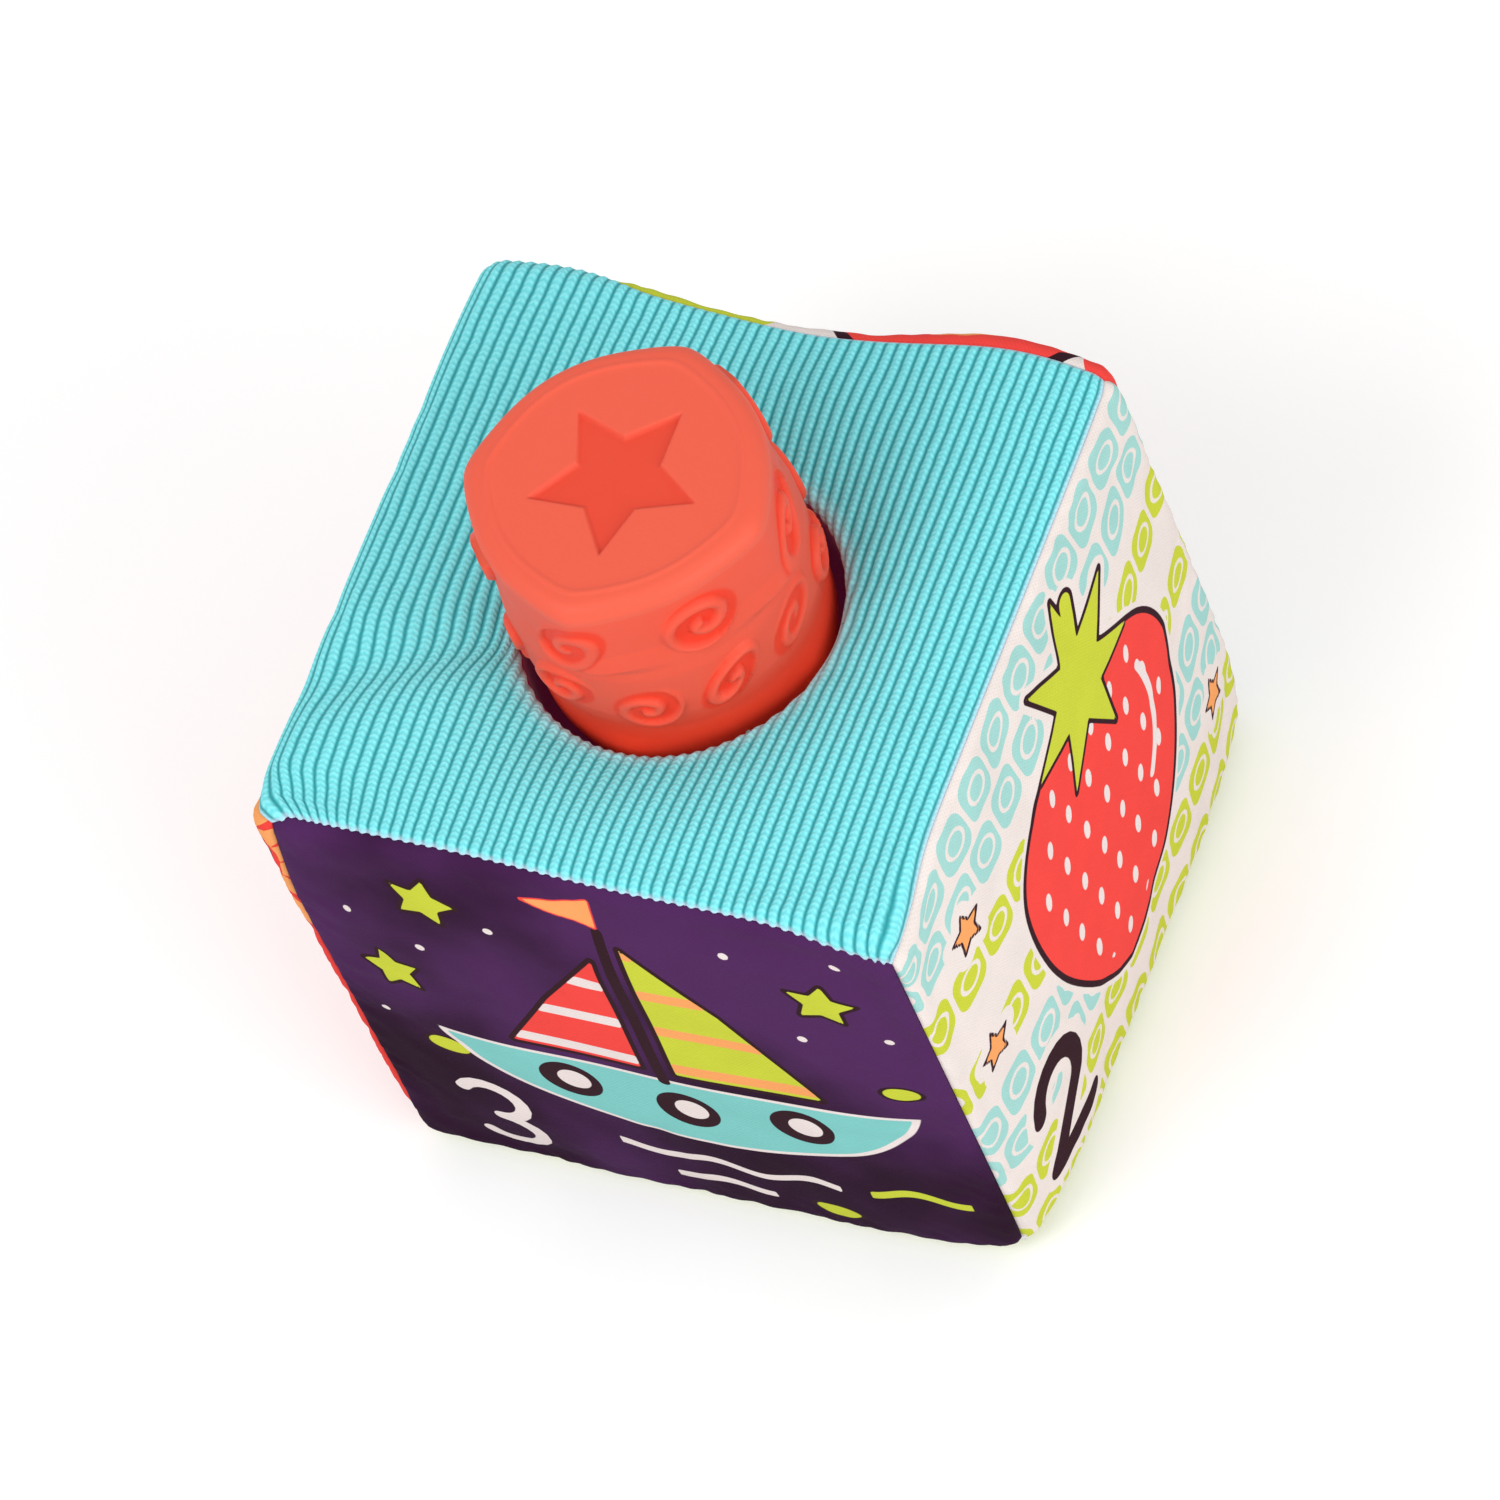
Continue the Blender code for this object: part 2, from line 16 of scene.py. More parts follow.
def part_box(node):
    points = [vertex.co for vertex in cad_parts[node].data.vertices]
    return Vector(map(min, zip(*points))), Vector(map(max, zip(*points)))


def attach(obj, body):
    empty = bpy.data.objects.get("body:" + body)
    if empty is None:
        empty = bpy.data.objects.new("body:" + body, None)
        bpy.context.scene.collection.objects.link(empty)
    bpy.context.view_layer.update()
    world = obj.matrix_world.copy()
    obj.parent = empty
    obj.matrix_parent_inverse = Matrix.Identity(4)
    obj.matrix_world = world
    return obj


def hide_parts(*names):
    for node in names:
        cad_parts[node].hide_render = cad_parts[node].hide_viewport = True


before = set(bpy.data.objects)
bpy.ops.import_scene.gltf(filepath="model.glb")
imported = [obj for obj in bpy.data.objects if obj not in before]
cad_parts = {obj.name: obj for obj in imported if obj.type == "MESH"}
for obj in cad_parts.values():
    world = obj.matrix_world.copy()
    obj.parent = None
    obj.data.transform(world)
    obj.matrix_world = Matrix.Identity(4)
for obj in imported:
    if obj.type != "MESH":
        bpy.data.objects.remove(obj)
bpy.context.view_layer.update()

# %% [markdown]
# ## The cover's form
#
# A sewn cube can be pushed and pulled by hand in sculpt mode, but then no two faces meet exactly.
# Here each face is a formula of two lengths, s and t, measured along the cloth from its middle.
# Faces that share a seam then share its points, and every layer of cloth follows the same rule.

# %% Sizes of the cover
MM = 0.001
HALF = np.array([128, 124, 120]) * MM / 2
SEAM_RADIUS = 5 * MM
INNER = HALF - SEAM_RADIUS
TOP_HEIGHT = 2 * HALF[2]
OPENING_RADIUS, OPENING_Y = 30 * MM, -1.8 * MM
DIP_DEPTH, DIP_SPREAD = 4.5 * MM, 22 * MM
CROWNS = {"top_panel": 2 * MM, "bottom_panel": 0}
SIDE_CROWN = 3 * MM

# Each face: its side, the direction of s and the direction of t
FACES = {
    "top_panel": ((0, 0, 1), (1, 0, 0), (0, 1, 0)),
    "bottom_panel": ((0, 0, -1), (-1, 0, 0), (0, 1, 0)),
    "front_panel": ((0, -1, 0), (1, 0, 0), (0, 0, 1)),
    "back_panel": ((0, 1, 0), (-1, 0, 0), (0, 0, 1)),
    "right_panel": ((1, 0, 0), (0, 1, 0), (0, 0, 1)),
    "left_panel": ((-1, 0, 0), (0, -1, 0), (0, 0, 1)),
}


def reach_of(face):
    """The cloth's length from the middle of a face to its seam, along s and along t."""
    _, across, along = (np.array(v, float) for v in FACES[face])
    return [np.abs(v) @ INNER + SEAM_RADIUS * pi / 4 for v in (across, along)]


for face in FACES:
    print(face, [round(2 * r / MM, 1) for r in reach_of(face)], "mm of cloth")

# %% [markdown]
# The next cell turns cloth lengths into places. Up to the seam's rounding a point lies on the flat
# face. Past it the point stays and the direction leans over, by arc length over radius, until the
# neighbour takes over at 45 degrees. On the real block the stretchy knit is pulled over the left
# edge and over a part of the back one, and the left panel comes a little way round to the front,
# so the whole skin is slid round those edges. The corners and the back seam are drawn in last.

# %% From cloth lengths to places
BACK_PULL = np.array([0, 2.8, 0.8]) * MM
UPPER_PULL, LOWER_PULL = 1.0 * MM, 2.0 * MM
SEAM_PLACE = INNER + SEAM_RADIUS / 2**0.5
# Slides in mm: the knit over the left and the back edge, the left panel round to the front at its
# foot and how much more higher up, the knit's front edge lifted, and its nearest corner let down
LEFT_SLIDE, BACK_SLIDE, FRONT_SLIDE, FRONT_MORE = 3.8, 3.6, 1.9, 3.8
EDGE_LIFT, CORNER_SLIDE = 1.3, 7.5


def ease(x):
    """Smooth step: 3x^2 - 2x^3 of x held between 0 and 1."""
    x = np.clip(x, 0, 1)
    return x * x * (3 - 2 * x)


def bell(distance, width):
    """A bell: exp(-(distance / width)^2)."""
    return np.exp(-((distance / width) ** 2))


def unit(vectors):
    """Vectors brought to a length of 1."""
    return vectors / np.linalg.norm(vectors, axis=-1, keepdims=True)


def slid(skin, lean):
    """The skin slid along itself near four edges and one corner, then put back on the rounded box.

    Each slide turns the outward direction by a quarter about its edge, and fades by a bell of the
    distance to the seam and by a smooth step along the edge. At the nearest corner the knit is
    pulled down, by what is left of `down` along the skin.
    """
    x, y, z = np.moveaxis(skin / MM, -1, 0)
    nx, ny, nz = np.moveaxis(lean, -1, 0)
    none = np.zeros_like(x)
    (right, back, high), (_, half_y, half_z) = SEAM_PLACE / MM, HALF / MM
    left, near, right, back, high = x + right, y + back, x - right, y - back, z - high
    knit_left = LEFT_SLIDE * bell(np.hypot(left, high), 18) * ease((y + half_y - 3) / 10)
    knit_back = BACK_SLIDE * ease((-28 - x) / 18) - 1.5 * ease((x + 15) / 25)
    front = (FRONT_SLIDE + FRONT_MORE * ease((z - 30) / 26)) * ease((z + half_z) / 30)
    raised = -EDGE_LIFT * bell(np.hypot(near, high), 12) * ease((14 - x) / 40)
    corner = CORNER_SLIDE * bell(np.hypot(np.hypot(right, near), high), 13)
    slides = (
        (knit_left, (-nz, none, nx)),
        (knit_back * bell(np.hypot(back, high), 14), (none, nz, -ny)),
        (front * bell(np.hypot(left, near), 14), (-ny, nx, none)),
        (raised, (none, -nz, ny)),
    )
    down = np.array([0.3, -0.3, -1.0])
    move = corner[..., None] * (down - lean * (lean @ down)[..., None])
    move = move + sum(amount[..., None] * np.stack(way, axis=-1) for amount, way in slides)
    moved = skin + MM * move
    inside = np.clip(moved, -INNER, INNER)
    return inside, unit(moved - inside)


def drawn_in(skin):
    """How the cover is drawn in: corners towards the middle, by the product of powers of the
    three shares of the way out. The top's back seam comes forward and down in its middle, and is
    pushed back and up towards both of its ends, each by a bell."""
    share = skin / HALF
    power = np.where(share[..., 2:] > 0, 6, 4)
    corner = np.prod(np.clip(np.abs(share), 0, 1) ** power, axis=-1)
    bells = ((1, -0.05, 0.45), (-0.95, 0.68, 0.30), (-0.4, -0.72, 0.22))
    back = sum(high * bell(share[..., 0] - middle, width) for high, middle, width in bells)
    back = back * np.prod(np.clip(share[..., 1:], 0, 1) ** 4, axis=-1)
    pull = np.where(share[..., 2] > 0, UPPER_PULL, LOWER_PULL * (1 + 0.6 * share[..., 0])) * corner
    return -np.sign(share) * pull[..., None] - back[..., None] * BACK_PULL


def flat_cover(face, s, t, depth):
    """Places and outward directions on a face with no crown, `depth` under the outside."""
    turned = np.array(FACES[face], float)[[1, 2, 0]]
    inner = np.abs(turned) @ INNER
    place = [np.clip(length, -edge, edge) for length, edge in zip((s, t), inner)]
    lean = [np.tan((length - at) / SEAM_RADIUS) for length, at in zip((s, t), place)]
    lean = unit(np.stack([*lean, np.ones_like(s)], axis=-1))
    centre = np.stack([*place, np.full_like(s, inner[2])], axis=-1)
    centre, lean = slid((centre + SEAM_RADIUS * lean) @ turned, lean @ turned)
    skin = centre + SEAM_RADIUS * lean
    return skin - depth * lean + drawn_in(skin) + (0, 0, HALF[2]), lean


corner = [np.array([reach]) for reach in reach_of("front_panel")]
print("corner of the front:", flat_cover("front_panel", *corner, 0)[0])

# %% [markdown]
# ## Stuffing the cover
#
# Stuffed cloth bulges most in the middle of a panel and hardly at all along its seams, and it
# puckers where two seams meet. Blender's cloth solver finds that form: a coarse cage of the whole
# cover is blown up from inside while its seams and its underside are held. Each face keeps the
# movement as a small grid, and the fine panels read it from there. A parabola is kept to stand in
# for it when no cage movement is given, but here the cage is always solved.

# %% Blow the cage up
CAGE_CELLS = 36
CLOTH_FRAMES = 24
CLOTH_SETTINGS = {
    "vertex_group_mass": "held",
    "use_pressure": True,
    "uniform_pressure_force": 4,
    "shrink_min": -0.012,
    "bending_stiffness": 0.2,
}


def face_grid(face, cells):
    """Cloth lengths on an even grid of `cells` each way, from seam to seam."""
    return np.meshgrid(*[np.linspace(-end, end, cells + 1) for end in reach_of(face)], indexing="ij")


def quads_of(index):
    """Four-sided faces between neighbours in a grid of point numbers."""
    a, b, c, d = index[:-1, :-1], index[1:, :-1], index[1:, 1:], index[:-1, 1:]
    return np.stack([a, b, c, d], axis=-1).reshape(-1, 4)


def new_mesh(name, points, quads):
    """A mesh from whole arrays of points and quads; points that no face uses are left out."""
    used, quads = np.unique(quads, return_inverse=True)
    quads = quads.reshape(-1, 4)
    mesh = bpy.data.meshes.new(name)
    mesh.vertices.add(len(used))
    mesh.vertices.foreach_set("co", points[used].astype(np.float32).ravel())
    mesh.loops.add(quads.size)
    mesh.loops.foreach_set("vertex_index", quads.ravel().astype(np.int32))
    mesh.polygons.add(len(quads))
    mesh.polygons.foreach_set("loop_start", np.arange(0, quads.size, 4, dtype=np.int32))
    mesh.update(calc_edges=True)
    return mesh, used


def add_object(name, data):
    """Puts a mesh, lamp or camera into the scene."""
    item = bpy.data.objects.new(name, data)
    bpy.context.scene.collection.objects.link(item)
    return item


def vectors_of(points, key):
    """One vector for each point of a mesh, such as its place or normal."""
    values = np.empty(len(points) * 3, np.float32)
    points.foreach_get(key, values)
    return values.reshape(-1, 3)


def parabola(face, s, t):
    """A crown of 1 in the middle and 0 at the seams: (1 - a^2)(1 - b^2), where a and b are the
    shares of the way out."""
    a, b = (length / end for length, end in zip((s, t), reach_of(face)))
    return (1 - a * a) * (1 - b * b)


def blown_up_cage():
    """How far each point of the cage moves in the cloth solver, as one grid of vectors a face."""
    grids = {face: face_grid(face, CAGE_CELLS) for face in FACES}
    starts = {face: flat_cover(face, s, t, 0)[0] for face, (s, t) in grids.items()}
    points = np.concatenate([start.reshape(-1, 3) for start in starts.values()])
    _, first, number = np.unique(np.round(points / MM, 2), axis=0, return_index=True, return_inverse=True)
    cells = (CAGE_CELLS + 1) ** 2
    numbers = {face: number.ravel()[i * cells : (i + 1) * cells] for i, face in enumerate(FACES)}
    quads = np.concatenate([quads_of(n.reshape(CAGE_CELLS + 1, -1)) for n in numbers.values()])
    held = np.zeros(len(first), bool)
    for face, (s, t) in grids.items():
        ends = reach_of(face)
        seam = (np.abs(s) > ends[0] - MM) | (np.abs(t) > ends[1] - MM) | (face == "bottom_panel")
        held[numbers[face][seam.ravel()]] = True
    mesh, _ = new_mesh("cage", points[first], quads)
    cage = add_object("cage", mesh)
    cage.vertex_groups.new(name="held").add(np.flatnonzero(held).tolist(), 1, "REPLACE")
    cloth = cage.modifiers.new("stuffing", "CLOTH")
    for setting, value in CLOTH_SETTINGS.items():
        setattr(cloth.settings, setting, value)
    cloth.settings.effector_weights.gravity = 0
    cloth.point_cache.frame_end = CLOTH_FRAMES
    for step in range(1, CLOTH_FRAMES + 1):
        bpy.context.scene.frame_set(step)
    solved = cage.evaluated_get(bpy.context.evaluated_depsgraph_get()).data
    moved = vectors_of(solved.vertices, "co") - points[first]
    bpy.context.scene.frame_set(1)
    bpy.data.objects.remove(cage)
    return {face: moved[n].reshape(CAGE_CELLS + 1, -1, 3) for face, n in numbers.items()}


def crown_grids():
    """The crown of each face as a grid of vectors, scaled to the height of the CAD's crown."""
    grids = {}
    moves = blown_up_cage()
    for face, (side, _, _) in FACES.items():
        if moves is None:
            s, t = face_grid(face, CAGE_CELLS)
            move = parabola(face, s, t)[..., None] * np.array(side, float)
        else:
            move = moves[face]
        most = max(np.abs(move @ np.array(side, float)).max(), MM / 100)
        grids[face] = move * (CROWNS.get(face, SIDE_CROWN) / most)
        print(face, "crown", round(most / MM, 2), "mm in the cage")
    return grids


CROWN_GRIDS = crown_grids()

# %% [markdown]
# A coarse grid read at fine points shows its cells unless the values between them are curved.
# Catmull-Rom weights, the usual cubic through four neighbours, keep the crown smooth.

# %% Read the crown anywhere on a face
WOBBLE, BACK_BULGE, PUCKER = 0.22 * MM, 3.0 * MM, 0.16 * MM
GROOVE_DEPTH, GROOVE_WIDTH = 0.75 * MM, 1.0 * MM


def cubic_weights(place, count):
    """The four grid lines round each place and their Catmull-Rom weights."""
    place = np.clip(place, 0, count - 1.0001)
    first = np.floor(place).astype(int)
    f = place - first
    weights = (((2 - f) * f - 1) * f, (3 * f - 5) * f * f + 2, ((4 - 3 * f) * f + 1) * f, (f - 1) * f * f)
    lines = [np.clip(first + k, 0, count - 1) for k in (-1, 0, 1, 2)]
    return list(zip(lines, (w / 2 for w in weights)))


def read_grid(grid, face, s, t):
    """The grid's vectors at cloth lengths s and t, with cubic curves between its lines."""
    places = [(length / end + 1) / 2 * CAGE_CELLS for length, end in zip((s, t), reach_of(face))]
    rows, columns = (cubic_weights(place, CAGE_CELLS + 1) for place in places)
    return sum((u * v)[..., None] * grid[i, j] for i, u in rows for j, v in columns)


def wobble(points):
    """Uneven filling: a sum of slow sine waves in x, y and z with wavelengths of 25 to 60 mm."""
    x, y, z = np.moveaxis(points / MM, -1, 0)
    slow = np.sin(x / 6.1 + y / 9.3 + 1) + np.sin(y / 5.2 - z / 7.7 + 2.3) + np.sin(z / 4.6 + x / 8.9)
    return WOBBLE * slow / 2


def covered(face, s, t, depth=0.0):
    """Places on the stuffed cover: the flat cover, its crown, a slow wobble that ends at the seams,
    puckers across the seams as sine waves, and a groove along every seam, a bell deep, where the
    cloth turns in."""
    points, out = flat_cover(face, s, t, depth)
    points = points + read_grid(CROWN_GRIDS[face], face, s, t)
    to_seam = np.minimum(*[end - np.abs(length) for length, end in zip((s, t), reach_of(face))])
    lift = -GROOVE_DEPTH * bell(to_seam, GROOVE_WIDTH)
    if face != "bottom_panel":
        lift = lift + wobble(points) * ease(to_seam / (12 * MM))
    if face not in ("bottom_panel", "top_panel"):
        along = (s + t) / MM
        pucker = np.sin(1.05 * along + 1.6 * np.sin(0.21 * along)) * ease(to_seam / (2 * MM))
        lift = lift + PUCKER * pucker * np.exp(-to_seam / (4 * MM))
    if face == "back_panel":
        bulge = bell(s + 32 * MM, 24 * MM) * bell(t - 44 * MM, 20 * MM)
        lift = lift + BACK_BULGE * bulge * ease(to_seam / (9 * MM))
    return points + out * lift[..., None]


side = covered("right_panel", *np.zeros((2, 1)))[0, 0] / MM
print("middle of the right side stands at", round(float(side), 2), "mm")

# %% [markdown]
# ## From points to closed pieces
#
# Cloth has a thickness, and each piece should be a closed body. A Solidify modifier would
# do for plain panels, but over ribs it would cross itself. So every cloth piece here is given its
# two layers of points, and one helper closes them: any edge that only one face uses gets a wall.

# %% Shells and their attributes
COVER = "cover"


def new_piece(name, mesh, body, slot, *nodes, material=None):
    """Puts a finished mesh into the scene for the CAD nodes that it stands for."""
    piece = add_object(name, mesh)
    mesh.shade_smooth()
    if material:
        mesh.materials.append(material)
    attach(piece, body)
    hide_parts(*nodes)
    print(name, len(mesh.polygons), "faces")
    return piece


def keep(mesh, name, values):
    """Stores one number or one vector for each point, for a material to read."""
    kind, key = ("FLOAT_VECTOR", "vector") if values.ndim == 2 else ("FLOAT", "value")
    layer = mesh.attributes.new(name, kind, "POINT")
    layer.data.foreach_set(key, np.ascontiguousarray(values, np.float32).ravel())


def shell(name, outer, inner, quads, **layers):
    """A closed shell of two layers of points, with the values of its layers on both sides."""
    count = len(outer)
    start, end = quads.ravel().astype(np.int64), np.roll(quads, -1, axis=1).ravel()
    lone = ~np.isin(start * count + end, end * count + start)
    p, q = start[lone], end[lone]
    walls = np.stack([q, p, p + count, q + count], axis=1)
    faces = np.vstack([quads, quads[:, ::-1] + count, walls])
    mesh, used = new_mesh(name, np.vstack([outer, inner]), faces)
    for layer, values in layers.items():
        keep(mesh, layer, np.concatenate([values, values])[used])
    return mesh


# %% [markdown]
# ## Drawing a print with distances
#
# A printed motif needs crisp edges on a mesh that is coarser than the print. An image would do,
# but it holds one size only. Here each ink is a field: at every point of the panel it says how
# far, in millimetres, the nearest edge of that ink lies, below zero inside. The mesh carries
# the field, and the material inks whatever is below zero, so edges stay sharp between points.

# %% Shapes as signed distances
def disc(x, y, cx, cy, radius):
    """Distance from the centre less the radius."""
    return np.hypot(x - cx, y - cy) - radius


def discs(x, y, places, radius):
    """Equal discs at several places."""
    return both(*[disc(x, y, cx, cy, radius) for cx, cy in places])


def oval(x, y, cx, cy, a, b):
    """An ellipse: the distance in a space where it is a unit circle, brought back to size."""
    return (np.hypot((x - cx) / a, (y - cy) / b) - 1) * min(a, b)


def box(x, y, cx, cy, half, corner):
    """A square with rounded corners."""
    dx, dy = np.abs(x - cx) - half + corner, np.abs(y - cy) - half + corner
    return np.hypot(np.maximum(dx, 0), np.maximum(dy, 0)) + np.minimum(np.maximum(dx, dy), 0) - corner


def line(x, y, points, width):
    """Distance to a chain of straight strokes, less half of their width."""
    nearest = np.full(np.shape(x), np.inf)
    for (ax, ay), (bx, by) in zip(points, points[1:]):
        dx, dy = bx - ax, by - ay
        share = np.clip(((x - ax) * dx + (y - ay) * dy) / (dx * dx + dy * dy), 0, 1)
        nearest = np.minimum(nearest, np.hypot(x - ax - share * dx, y - ay - share * dy))
    return nearest - width / 2


def polygon(x, y, points):
    """Distance to a closed outline, below zero where a ray from the point crosses the outline an
    odd number of times."""
    closed = [*points, points[0]]
    inside = np.zeros(np.shape(x), bool)
    for (ax, ay), (bx, by) in zip(closed, closed[1:]):
        if ay != by:
            inside ^= ((ay > y) != (by > y)) & (x < ax + (y - ay) * (bx - ax) / (by - ay))
    away = line(x, y, closed, 0)
    return np.where(inside, -away, away)


def star(cx, cy, radius, points=5, waist=0.5, turn=90):
    """Corner points of a star: the radius alternates between the tip and the waist."""
    turns = np.radians(turn + 180 * np.arange(2 * points) / points)
    radii = radius * np.where(np.arange(2 * points) % 2, waist, 1)
    return list(zip(cx + radii * np.cos(turns), cy + radii * np.sin(turns)))


def arc(cx, cy, radius, start, stop):
    """Points along an arc, angles in degrees."""
    turns = np.radians(np.linspace(start, stop, 13))
    return list(zip(cx + radius * np.cos(turns), cy + radius * np.sin(turns)))


def edge(field, width):
    """A line of even width along the edge of a shape."""
    return np.abs(field) - width / 2


def both(*fields):
    """Every shape together."""
    return np.minimum.reduce(fields)


def without(field, *others):
    """A shape with others taken out of it."""
    return np.maximum.reduce([field, *[-other for other in others]])


# %% [markdown]
# The front is dark purple. Its print is a sailing boat with portholes, waves and plain stars, in
# teal, lime, red, orange, off-white and black. Each ink is one layer over the last, the way a
# screen printer works.

# %% Inks and the front's print
TEAL_INK = (0.205, 0.560, 0.530)
PALE_TEAL_INK = (0.350, 0.640, 0.600)
LIME_INK = (0.560, 0.610, 0.045)
RED_INK = (0.860, 0.062, 0.052)
BLACK_INK = (0.030, 0.008, 0.014)
CREAM_INK = (0.800, 0.700, 0.680)
ORANGE_INK = (0.900, 0.360, 0.120)
# The second purple is a painted shade for the lower and left parts of the front.
PURPLE_CLOTH, PURPLE_PAINTED_SHADE = (0.074, 0.018, 0.096), (0.018, 0.002, 0.015)
CREAM_CLOTH = (0.800, 0.710, 0.675)
RED_CLOTH = (0.800, 0.055, 0.045)
LIME_CLOTH = (0.540, 0.600, 0.050)


def wave(x, y, height, low, high):
    """A wavy stroke from low to high: the distance to a sine along x."""
    across = np.maximum(low - x, x - high)
    return np.maximum(np.abs(y - height - 1.6 * np.sin(x / 3.2)) * 0.85 - 1.1, across)


def front_print(x, y):
    star_at = ((45, 36, 80), (-46, 14, 100), (-31, 44, 75))
    stars = both(*[polygon(x, y, star(cx, cy, 6.8, waist=0.5, turn=lean)) for cx, cy, lean in star_at])
    speck_at = ((-19, 39), (-50, 34), (-36, 27), (29, 47), (55, 24), (50, 51), (-54, -4), (38, 22))
    specks = discs(x, y, speck_at, 1.0)
    hull = np.maximum(oval(x, y, 6, 0, 47, 27), y + 5)
    holes = [(-17, -13), (6, -15), (29, -13)]
    rings, panes = discs(x, y, holes, 6.2), discs(x - 0.8, y - 0.4, holes, 3.3)
    mast = line(x, y, [(4, -5), (4, 46)], 2.4)
    right_sail = polygon(x, y, [(7.5, -1), (7.5, 42), (22, 24), (36, -1)])
    left_sail = polygon(x, y, [(0.5, -1), (0.5, 36), (-13, 18), (-25, -1)])
    bands = np.abs((y + 200) % 13 - 6.5) - 1.6
    flag = polygon(x, y, [(4, 47), (4, 55), (-10, 51)])
    floats = ((-42, -12, 4.5, 2.4), (26, -50, 4.5, 2.4), (53, 6, 3.6, 2.2))
    flotsam = both(*[oval(x, y, *spot) for spot in floats])
    waves = both(wave(x, y, -38, -14, 30), wave(x, y, -47, -6, 14))
    number = line(x, y, [*arc(-39, -32, 6.3, 150, -90), *arc(-39, -44.6, 6.3, 90, -150)], 3.2)
    return [
        (BLACK_INK, both(stars - 0.9, flotsam - 0.6)),
        (LIME_INK, both(stars, wave(x, y, -36, 36, 56), flotsam)),
        (CREAM_INK, both(specks, waves, hull - 0.9, number)),
        (TEAL_INK, hull),
        (BLACK_INK, both(rings, mast, right_sail - 1.1, left_sail - 1.1)),
        (LIME_INK, right_sail),
        (RED_INK, both(left_sail, edge(flag, 0.8))),
        (ORANGE_INK, both(flag, np.maximum(right_sail, bands))),
        (CREAM_INK, both(panes, np.maximum(left_sail, bands))),
    ]


# %% [markdown]
# The right side is off-white, with rows of small rounded squares in pale teal and lime and one
# large red strawberry outlined in black. The back, left and underside hardly show from the front,
# and carry large balls, a sun, a balloon and small dots in the same inks.

# %% Prints of the other sides
def squares(x, y, rows, size=5.1, pitch=11.6):
    """Rows of rounded squares with a ring left open in each, shifted by half a pitch on odd rows."""
    fields = []
    for number, (height, low, high) in enumerate(rows):
        shift = pitch / 2 * (number % 2)
        middle = np.clip(np.round((x - shift) / pitch) * pitch + shift, low, high)
        middle = np.round((middle - shift) / pitch) * pitch + shift
        lean = 0.16 * np.sin(3.1 * middle + number) * (x - middle)
        square = box(x, y - lean, middle, height, size, 2.8)
        fields.append(without(square, edge(oval(x, y - lean, middle + 0.3, height, 3.1, 2.6), 0.8)))
    return both(*fields)


def berry_outline():
    """Outline of the berry: half a flat ellipse over a narrowing cosine."""
    top, bottom = np.linspace(29, 4, 16), np.linspace(4, -44, 20)[1:]
    upper = np.sqrt(np.clip(1 - ((top - 4) / 25) ** 2, 0, 1))
    lower = np.cos((4 - bottom) / 48 * pi / 2) ** 0.7
    heights, widths = np.concatenate([top, bottom]), 34 * np.concatenate([upper, lower])
    right, left = list(zip(widths, heights)), list(zip(-widths, heights))
    return right + left[::-1][1:-1]


def right_print(x, y):
    tilt = radians(-12)
    bx, by = (x - 6) * cos(tilt) + (y - 2) * sin(tilt), (y - 2) * cos(tilt) - (x - 6) * sin(tilt)
    berry = polygon(bx, by, berry_outline())
    seed_y = np.round(by / 9) * 9
    seed_x = np.round((bx - 4.5 * (seed_y / 9 % 2)) / 9) * 9 + 4.5 * (seed_y / 9 % 2)
    seeds = np.maximum(oval(bx, by, seed_x, seed_y, 1.1, 2.1), berry + 3.4)
    leaves = both(polygon(bx, by, star(0, 29, 21, 7, 0.42, 90)), line(bx, by, [(0, 28), (4, 46)], 3.8))
    shine = line(bx, by, arc(-2, 2, 25, 24, -38), 2.0)
    number = [*arc(-38, -30, 8, 170, -35), (-46, -49), (-28, -49)]
    clear = both(berry - 2.5, leaves - 2.5, line(x, y, number, 10))
    teal_rows = squares(x, y, [(height, -60, 60) for height in (52, 40, -14, -26)])
    lime_rows = squares(x, y, [(height, -60, 60) for height in (24, 2, -40, -56)])
    sparks = both(*[polygon(x, y, star(cx, cy, 5)) for cx, cy in ((-48, 2), (48, -33), (-42, 34))])
    return [
        (PALE_TEAL_INK, np.maximum(teal_rows, -clear)),
        (LIME_INK, np.maximum(lime_rows, -clear)),
        (CREAM_CLOTH, sparks - 3),
        (ORANGE_INK, sparks),
        (BLACK_INK, both(berry - 1.3, leaves - 1, line(x, y, number, 4.8), edge(sparks, 0.7))),
        (RED_INK, berry),
        (CREAM_INK, both(seeds, shine)),
        (BLACK_INK, np.maximum(edge(leaves, 1.8), berry)),
        (LIME_INK, leaves),
    ]


def back_print(x, y):
    ball, moon, drop = disc(x, y, -31, 38, 28), disc(x, y, 22, 40, 25), disc(x, y, 8, -24, 21)
    corner = disc(x, y, -66, 52, 11)
    return [
        (PALE_TEAL_INK, squares(x, y, [(-50, -60, 60), (-10, 20, 60), (6, -60, 60), (-30, -60, -20)])),
        (BLACK_INK, both(ball - 2.2, drop - 1.2)),
        (CREAM_CLOTH, both(moon - 2.5, np.maximum(drop, -drop - 4))),
        (LIME_INK, moon),
        (RED_INK, both(ball, drop + 4, corner)),
        (CREAM_INK, np.maximum(moon, edge(disc(x, y, 22, 40, 14), 3))),
        (ORANGE_INK, np.maximum(ball, both(edge(disc(x, y, -31, 38, 17), 3), disc(x, y, -31, 38, 7)))),
    ]


